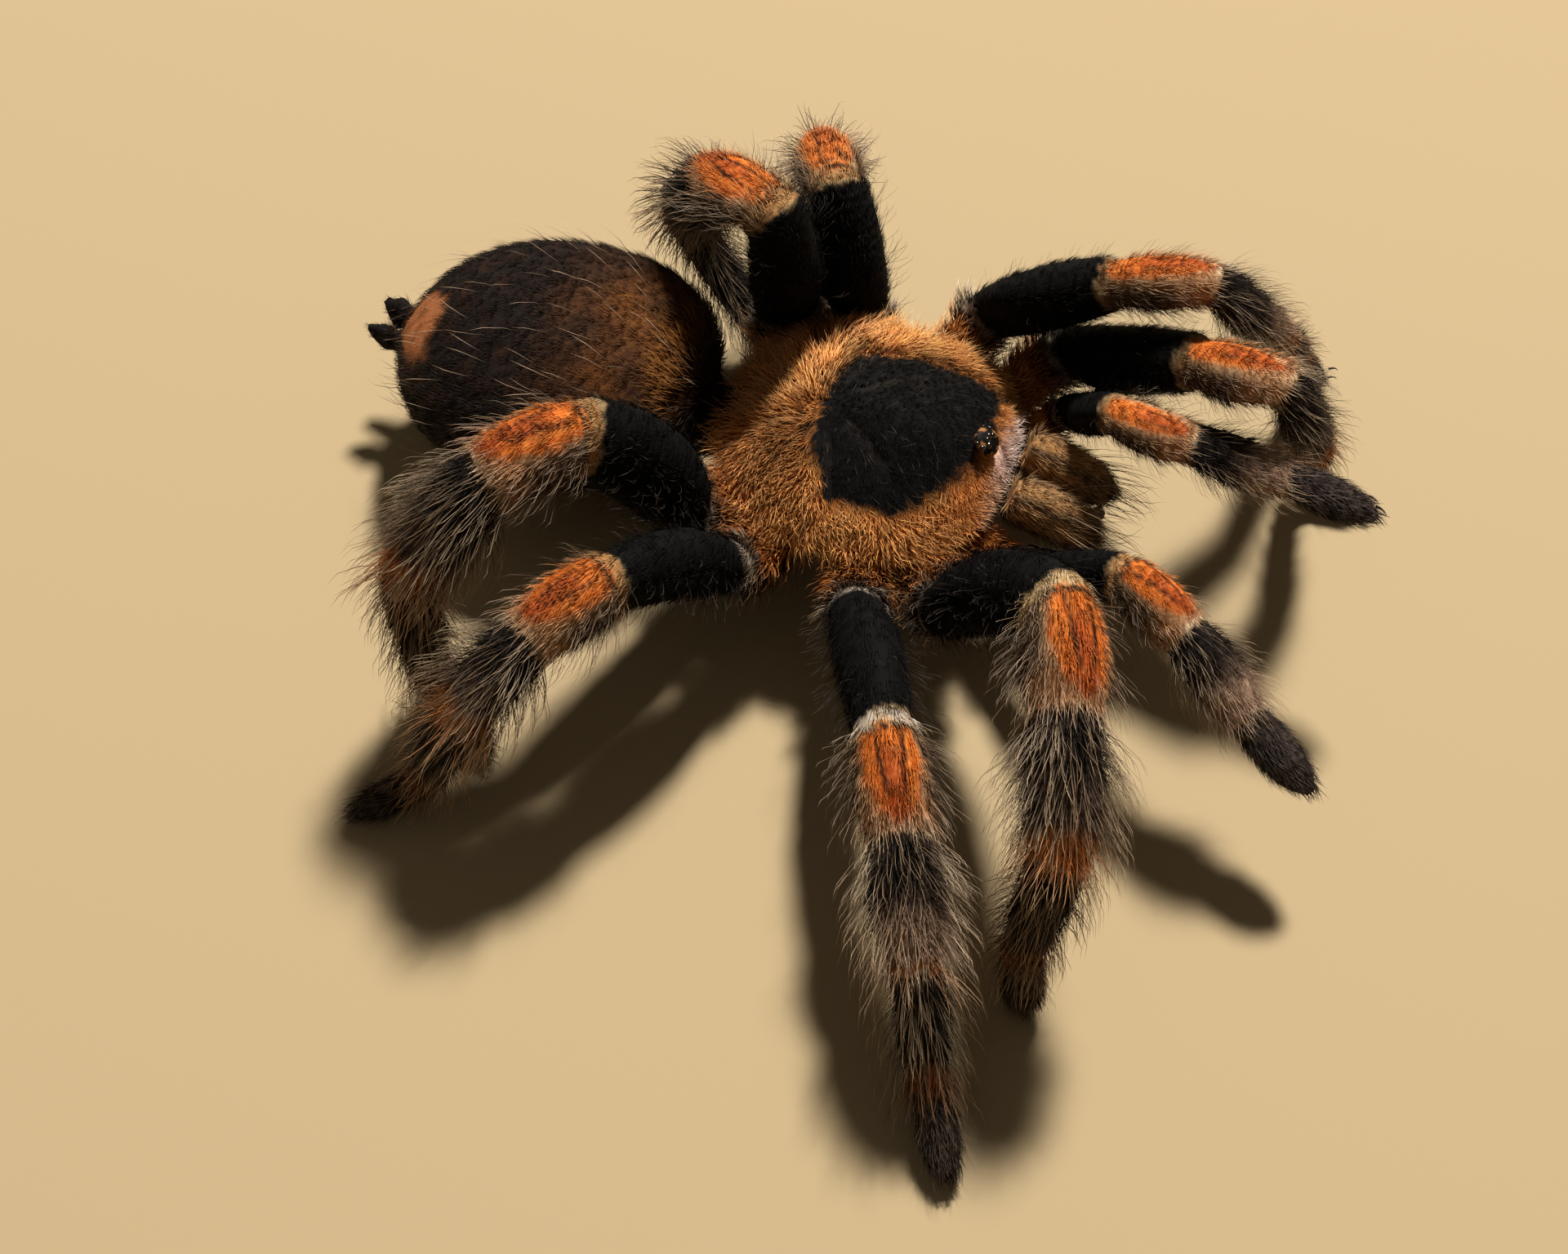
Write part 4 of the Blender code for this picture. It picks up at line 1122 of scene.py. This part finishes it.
def skin_patch(surface, faces, layer):
    """Part of a surface, with one layer's numbers written on its points."""
    points, unwrapping, numbers, lies = surface
    used = np.unique(np.concatenate([np.array(face) for face in faces]))
    renumber = np.full(len(points), -1)
    renumber[used] = np.arange(len(used))
    mesh = bpy.data.meshes.new(layer)
    mesh.from_pydata(points[used].tolist(), [], [tuple(renumber[list(face)]) for face in faces])
    for title, number in (("density", layer), ("length", layer + "_length"), ("stand", layer + "_stand")):
        write(mesh, title, "FLOAT", "value", getattr(numbers, number)[used])
    write(mesh, "lie", "FLOAT_VECTOR", "vector", lies[used])
    write_markings(mesh, numbers.under[used], (numbers.over if layer == "fur" else numbers.bristle_tip)[used])
    # The map is cut where it runs round the back, so each face's corners go to its first one's side.
    sizes = np.array([len(face) for face in faces])
    place = unwrapping[[index for face in faces for index in face]]
    leader = np.repeat(place[np.cumsum(sizes) - sizes, 0], sizes)
    place[:, 0] += np.round(leader - place[:, 0]) * (np.abs(leader - place[:, 0]) > 0.5)
    write(mesh, "unwrap", "FLOAT2", "vector", place, "CORNER")
    return new_object(layer, mesh)


skin_surface = (skin_points, unwrap, coat, lie)
shield_surface = (shield_points, shield_unwrap, plate, shield_lie)
skin_faces, shield_faces = ([tuple(face.vertices) for face in mesh.polygons]
                            for mesh in (skin_mesh, shield_mesh))
print("faces to grow hair on:", len(skin_faces), "and", len(shield_faces))

# %% Grow the coats
# Tufts of fur on each mm2, how far hairs stray from the lie, and how much further bristles do.
FUR_PER_MM2 = {"leg": 4.3, "palp": 4.6, "shield": 10.5, "abdomen": 4.2, "jaws": 6.5}
STRAY = {"leg": 0.2, "palp": 0.2, "shield": 0.6, "abdomen": 0.3, "jaws": 0.15}
BRISTLE_STRAY = 1.2
# Bristles draw their chances from a seed this much after the fur's.
BRISTLE_SEED = 50
# Hair below FLOOR_HAIR bends aside, and none comes nearer to the floor than FLOOR_GAP, in mm.
FLOOR_HAIR = 0.5
FLOOR_GAP = 0.03
KEPT = {"marking", "tip_marking", "along", "shade", "OFBake", "material_index", "sharp_face"}


def grow(name, patch, tufts, per_mm2, stray, seed):
    """The patch's hair as one plain mesh object."""
    modifier = patch.modifiers.new("grow", "NODES")
    modifier.node_group = coat_tree
    values = {"Tufts": tufts, "Kinds of tuft": len(tufts.objects) - 1, "Tufts per mm2": per_mm2,
              "Stray": stray, "Seed": seed, "Finish": hair_finish}
    for item in coat_tree.interface.items_tree:
        if item.name in values:
            modifier[item.identifier] = values[item.name]
    mesh = bpy.data.meshes.new_from_object(patch.evaluated_get(bpy.context.evaluated_depsgraph_get()))
    mesh.name = name
    bpy.data.objects.remove(patch)
    return new_object(name, mesh)


def above_floor(points):
    """Bends the hair that would go through the floor along it, without crossing any two hairs."""
    low = points[:, 2] < FLOOR_HAIR
    bend = FLOOR_HAIR - FLOOR_GAP
    points[low, 2] = FLOOR_GAP + bend * np.exp((points[low, 2] - FLOOR_HAIR) / bend)
    return points


def coat_piece(name, surface, faces, kind, seed):
    """Both layers of hair over part of a surface, as one piece in the frame."""
    stray = STRAY[kind]
    piece = grow(name, skin_patch(surface, faces, "fur"), fur_tufts, FUR_PER_MM2[kind], stray, seed)
    bristles = grow("bristles", skin_patch(surface, faces, "bristle"), bristle_tufts, 1.0,
                    stray * BRISTLE_STRAY, seed + BRISTLE_SEED)
    with bpy.context.temp_override(active_object=piece, selected_editable_objects=[piece, bristles]):
        bpy.ops.object.join()
    attributes = piece.data.attributes
    for attribute in [item.name for item in attributes if not item.is_required and item.name[0] != "."]:
        if attribute not in KEPT:
            attributes.remove(attributes[attribute])
    move_points(piece.data, above_floor(points_of(piece.data)))
    piece.data.transform(INTO_FRAME)
    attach(piece, "root")
    print(name, "triangles:", len(piece.data.polygons))
    return piece


# Name, nodes whose skin it covers, kind and seed of each coat that grows on the skin.
skin_coats = [(limb, [f"{limb}_{part}" for part in LIMB_PARTS], "palp" if "palp" in limb else "leg", number)
              for number, limb in enumerate(STANCE, start=1)]
skin_coats += [("abdomen", ("abdomen", "spinneret_left", "spinneret_right"), "abdomen", 21),
               ("jaws", ("sternum", "chelicera_left", "chelicera_right"), "jaws", 22)]
for name, nodes, kind, seed in skin_coats:
    covered = near_nodes(*nodes)
    mine = [face for face in skin_faces if covered[face[0]]]
    coat_piece(f"coat_{name}", skin_surface, mine, kind, seed)
coat_piece("coat_shield", shield_surface, shield_faces, "shield", 23)

# %% [markdown]
# ## Put the pieces into the frame
# Skin and shield carry their markings as attributes, which their material reads. The skin stands
# for all the solids of flesh, and the finer shield, eyes and fangs for their own solids.

# %% Place skin, shield, eyes, fangs and claws
def placed(name, mesh, finish, nodes=(), numbers=None):
    """Puts a piece into the frame, with its finish, its markings and the nodes that it stands for."""
    if numbers is not None:
        write_markings(mesh, numbers.under, numbers.over)
    mesh.materials.clear()
    mesh.materials.append(finish)
    mesh.shade_smooth()
    mesh.transform(INTO_FRAME)
    piece = new_object(name, mesh)
    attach(piece, "root")
    if nodes:
        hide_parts(*nodes)
    print(name, "stands for", len(nodes), "nodes")


flesh = [name for name in node_names if name != "carapace"]
placed("skin", skin_mesh, skin_finish, flesh, coat)
placed("shield", shield_mesh, skin_finish, ["carapace"], plate)
placed("eye_mound", mound_mesh, mound_finish, ["eye_tubercle"])
placed("eyes", eyes_mesh, eye_finish)
placed("fang_of_left", fang_meshes["left"], horn_finish, ["fang_left"])
placed("fang_of_right", fang_meshes["right"], horn_finish, ["fang_right"])
placed("claws", claws_mesh, horn_finish)

# %% [markdown]
# ## Floor, light and camera
# A plain pale floor, one small bright light from the spider's left, a little higher than it is far
# out, which gives clear, sharp-edged shadows, and a gentle fill from all round. The camera looks
# down from the spider's right front.

# %% Lay the floor and set the camera
FLOOR_HALF = 2.0
CAMERA_AZIMUTH = math.radians(292)
CAMERA_ELEVATION = math.radians(58.5)
CAMERA_ROLL = math.radians(-3.94)
CAMERA_DISTANCE = 196.54
CAMERA_TARGET = np.array((-16.29, 1.08, 8.0))
LENS = 63.75
NEAREST_SEEN = 0.005
floor_mesh = bpy.data.meshes.new("floor")
floor_mesh.from_pydata([(x * FLOOR_HALF, y * FLOOR_HALF, 0) for x, y in ((-1, -1), (1, -1), (1, 1), (-1, 1))],
                       [], [(0, 1, 2, 3)])
floor_finish, tree, shader = new_finish("pale_floor", 0.9, 0.1)
shader.inputs["Base Color"].default_value = (*linear("ac9876"), 1)
floor_mesh.materials.append(floor_finish)
new_object("floor", floor_mesh)

eye_line = np.array((math.sin(CAMERA_AZIMUTH) * math.cos(CAMERA_ELEVATION),
                     -math.cos(CAMERA_AZIMUTH) * math.cos(CAMERA_ELEVATION), math.sin(CAMERA_ELEVATION)))
across = np.array((math.cos(CAMERA_AZIMUTH), math.sin(CAMERA_AZIMUTH), 0.0))
upwards = np.cross(eye_line, across)
axes = (across * math.cos(CAMERA_ROLL) + upwards * math.sin(CAMERA_ROLL),
        upwards * math.cos(CAMERA_ROLL) - across * math.sin(CAMERA_ROLL), eye_line)
position = INTO_FRAME @ Vector(CAMERA_TARGET + eye_line * CAMERA_DISTANCE)
camera_data = bpy.data.cameras.new("camera")
camera_data.lens = LENS
camera_data.clip_start = NEAREST_SEEN
camera = new_object("camera", camera_data)
rows = [(*row, place) for row, place in zip(np.column_stack(axes), position)]
camera.matrix_world = Matrix(rows + [(0, 0, 0, 1)])
bpy.context.scene.camera = camera
print("camera at, mm:", [round(value / MM, 1) for value in position])

# %% Light it
KEY_DIRECTION = Vector((0.92, -0.02, 1.1)).normalized()
KEY_DISTANCE = 1.6
KEY_SIZE = 0.2
KEY_WATTS = 54.0
KEY_COLOUR = (1.0, 0.96, 0.9)
FILL_STRENGTH = 0.13
key_data = bpy.data.lights.new("key", "AREA")
key_data.shape, key_data.size, key_data.energy, key_data.color = "DISK", KEY_SIZE, KEY_WATTS, KEY_COLOUR
key = new_object("key", key_data)
key.location = KEY_DIRECTION * KEY_DISTANCE
key.rotation_euler = KEY_DIRECTION.to_track_quat("Z", "Y").to_euler()
world = bpy.data.worlds.new("studio")
world.use_nodes = True
fill = world.node_tree.nodes["Background"].inputs
fill["Color"].default_value = (*linear("ebdfcc"), 1)
fill["Strength"].default_value = FILL_STRENGTH
bpy.context.scene.world = world
bpy.context.scene.view_settings.view_transform = "Standard"
print("key light at, mm:", [round(value / MM) for value in key.location])
